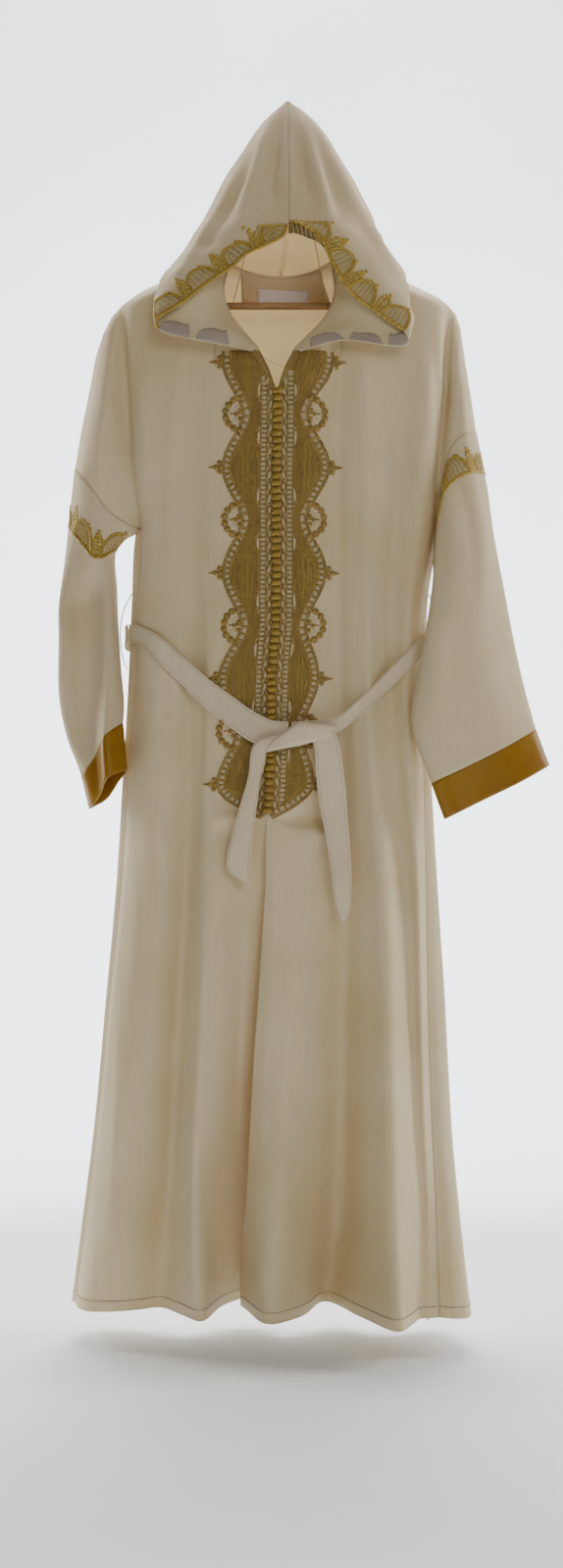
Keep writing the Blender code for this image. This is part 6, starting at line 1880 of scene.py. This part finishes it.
def makeRod():
    # a dowel across the shoulders with rounded ends
    half, radius, bend = rod["half"], rod["radius"], np.linspace(0, math.pi / 2, 6)
    end, rise = rod["round"] * (1 - np.cos(bend)), radius - rod["round"] + rod["round"] * np.sin(bend)
    places = np.concatenate([end - half, np.linspace(4 - half, half - 4, rod["steps"]), half - end[::-1]])
    reach = np.concatenate([rise, np.full(rod["steps"], radius), rise[::-1]])[:, None]
    angle = 2 * math.pi * np.arange(rod["sides"]) / rod["sides"]
    rings = np.stack([places[:, None] + 0 * angle, reach * np.cos(angle),
                      rod["height"] + reach * np.sin(angle)], -1)
    bundle = newBundle()
    addRings(bundle, rings)
    piece = bundlePiece(bundle, "hangerRod", "wood", "hanger_rod")
    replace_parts(piece, "hanger_rod")
    return piece


facingPiece, labelPiece, rodPiece = makeFacing(), makeLabel(), makeRod()

# seams: twin needle rows above the hem, the drop shoulders, the sleeves' lower edges and the hood's seam
for node in ("front_right", "front_left", "back"):
    lower = panels[node][1]
    normals = gridNormals(lower)
    normals *= np.sign(normals[..., 1:2].mean() * (1.0 if node == "back" else -1.0))
    for height in (16.6, 13.0):
        row = int(np.argmin(np.abs(lower[:, 3, 2] - cut["hem"] - height)))
        addStitches(lower[row] + normals[row] * 0.35, normals[row], 5.2, 3.8, 0.5)
for side in sides:
    tube = sleeves[side]["tube"]
    normals = outwardNormals(tube, tube.mean(axis=1, keepdims=True))
    for row in (2, -2):
        addStitches(tube[row] + normals[row] * 0.3, normals[row])
    grid, normals, _ = hoods[side]
    up = normals[4:seamRows, 1]
    addStitches(grid[4:seamRows, 1] + up * 0.3, up, 5.0, 3.4)
# two loose thread ends, in the neck's V and at the hem
for line in (((-28.8, -65.5, -346.1), (-14.4, -66.5, -355.2), (-2.7, -66.0, -357.9)),
             ((190, -42, -1629), (193, -44, -1634), (189, -46, -1630.8))):
    addThread(sewn, along(line, np.linspace(0, 1, 14)), 0.45, sides=6)
sewnPiece = bundlePiece(sewn, "stitches", "sewing", "front_right")
print("neck, rod and sewing made")

# the hanger's wire bail keeps its CAD shape and takes the drawn steel finish
bpy.data.objects["hanger_bail"].material_slots[0].material = finish["wire"]


# Studio: pale seamless paper, light from behind and above, a weak soft fill in front

studio = {"width": 7.0, "near": -5.0, "wall": 2.6, "radius": 1.4, "height": 4.5, "steps": 16}


def makeStudio():
    # the paper's section: along the floor, round a quarter bend and up the wall
    floor, bend = photo["floor"], studio["radius"]
    line = [(studio["near"], floor), (studio["wall"] - bend, floor)]
    for step in range(1, studio["steps"] + 1):
        angle = math.pi / 2 * step / studio["steps"]
        line.append((studio["wall"] - bend * (1 - math.sin(angle)), floor + bend * (1 - math.cos(angle))))
    line.append((studio["wall"], floor + studio["height"]))
    verts = [(x, y, z) for y, z in line for x in (-studio["width"], studio["width"])]
    faces = [(2 * k, 2 * k + 1, 2 * k + 3, 2 * k + 2) for k in range(len(line) - 1)]
    mesh = bpy.data.meshes.new("studioPaper")
    mesh.from_pydata(verts, [], faces)
    mesh.shade_smooth()
    mesh.materials.append(finish["paper"])
    sweep = bpy.data.objects.new("studioPaper", mesh)
    render.collection.objects.link(sweep)


makeStudio()
# place, point aimed at, width and height in metres, watts, colour
lamps = {
    "backSky": ((0.0, 1.9, 2.4), (0.0, 0.5, -1.2), (3.0, 1.4), 165, "#FFFFFF"),
    "wallWash": ((0.0, 0.8, -0.4), (0.0, 2.6, -0.4), (3.4, 1.0), 136, "#F4F9FF"),
    "overhead": ((0.0, 0.25, 2.6), (0.0, 0.0, -1.6), (0.9, 0.9), 34, "#FFFFFF"),
    "rightRim": ((2.4, 0.4, 0.1), (0.0, 0.0, -0.9), (0.9, 2.2), 58, "#FFFCF6"),
    "leftRim": ((-2.2, 1.0, 0.0), (-0.2, 0.0, -0.8), (0.9, 2.0), 62, "#FFFAF0"),
    "frontFill": ((1.2, -3.9, 0.9), (0.0, 0.0, -0.9), (2.0, 1.8), 50, "#FFF6E8"),
}
for name, (at, aim, size, power, colour) in lamps.items():
    light = bpy.data.lights.new(name, "AREA")
    light.shape = "RECTANGLE"
    light.size, light.size_y = size
    light.energy = power
    light.color = toLinear(colour)[:3]
    holder = bpy.data.objects.new(name, light)
    holder.location = at
    x, y, z = np.array(aim) - np.array(at)
    holder.rotation_euler = (math.pi / 2 + math.atan2(z, math.hypot(x, y)), 0, math.atan2(y, x) - math.pi / 2)
    holder.visible_camera = False
    render.collection.objects.link(holder)
sky = bpy.data.worlds.new("sky")
sky.use_nodes = True
for socket, value in (("Color", toLinear("#EEF2F6")), ("Strength", 0.16)):
    sky.node_tree.nodes["Background"].inputs[socket].default_value = value
render.world = sky
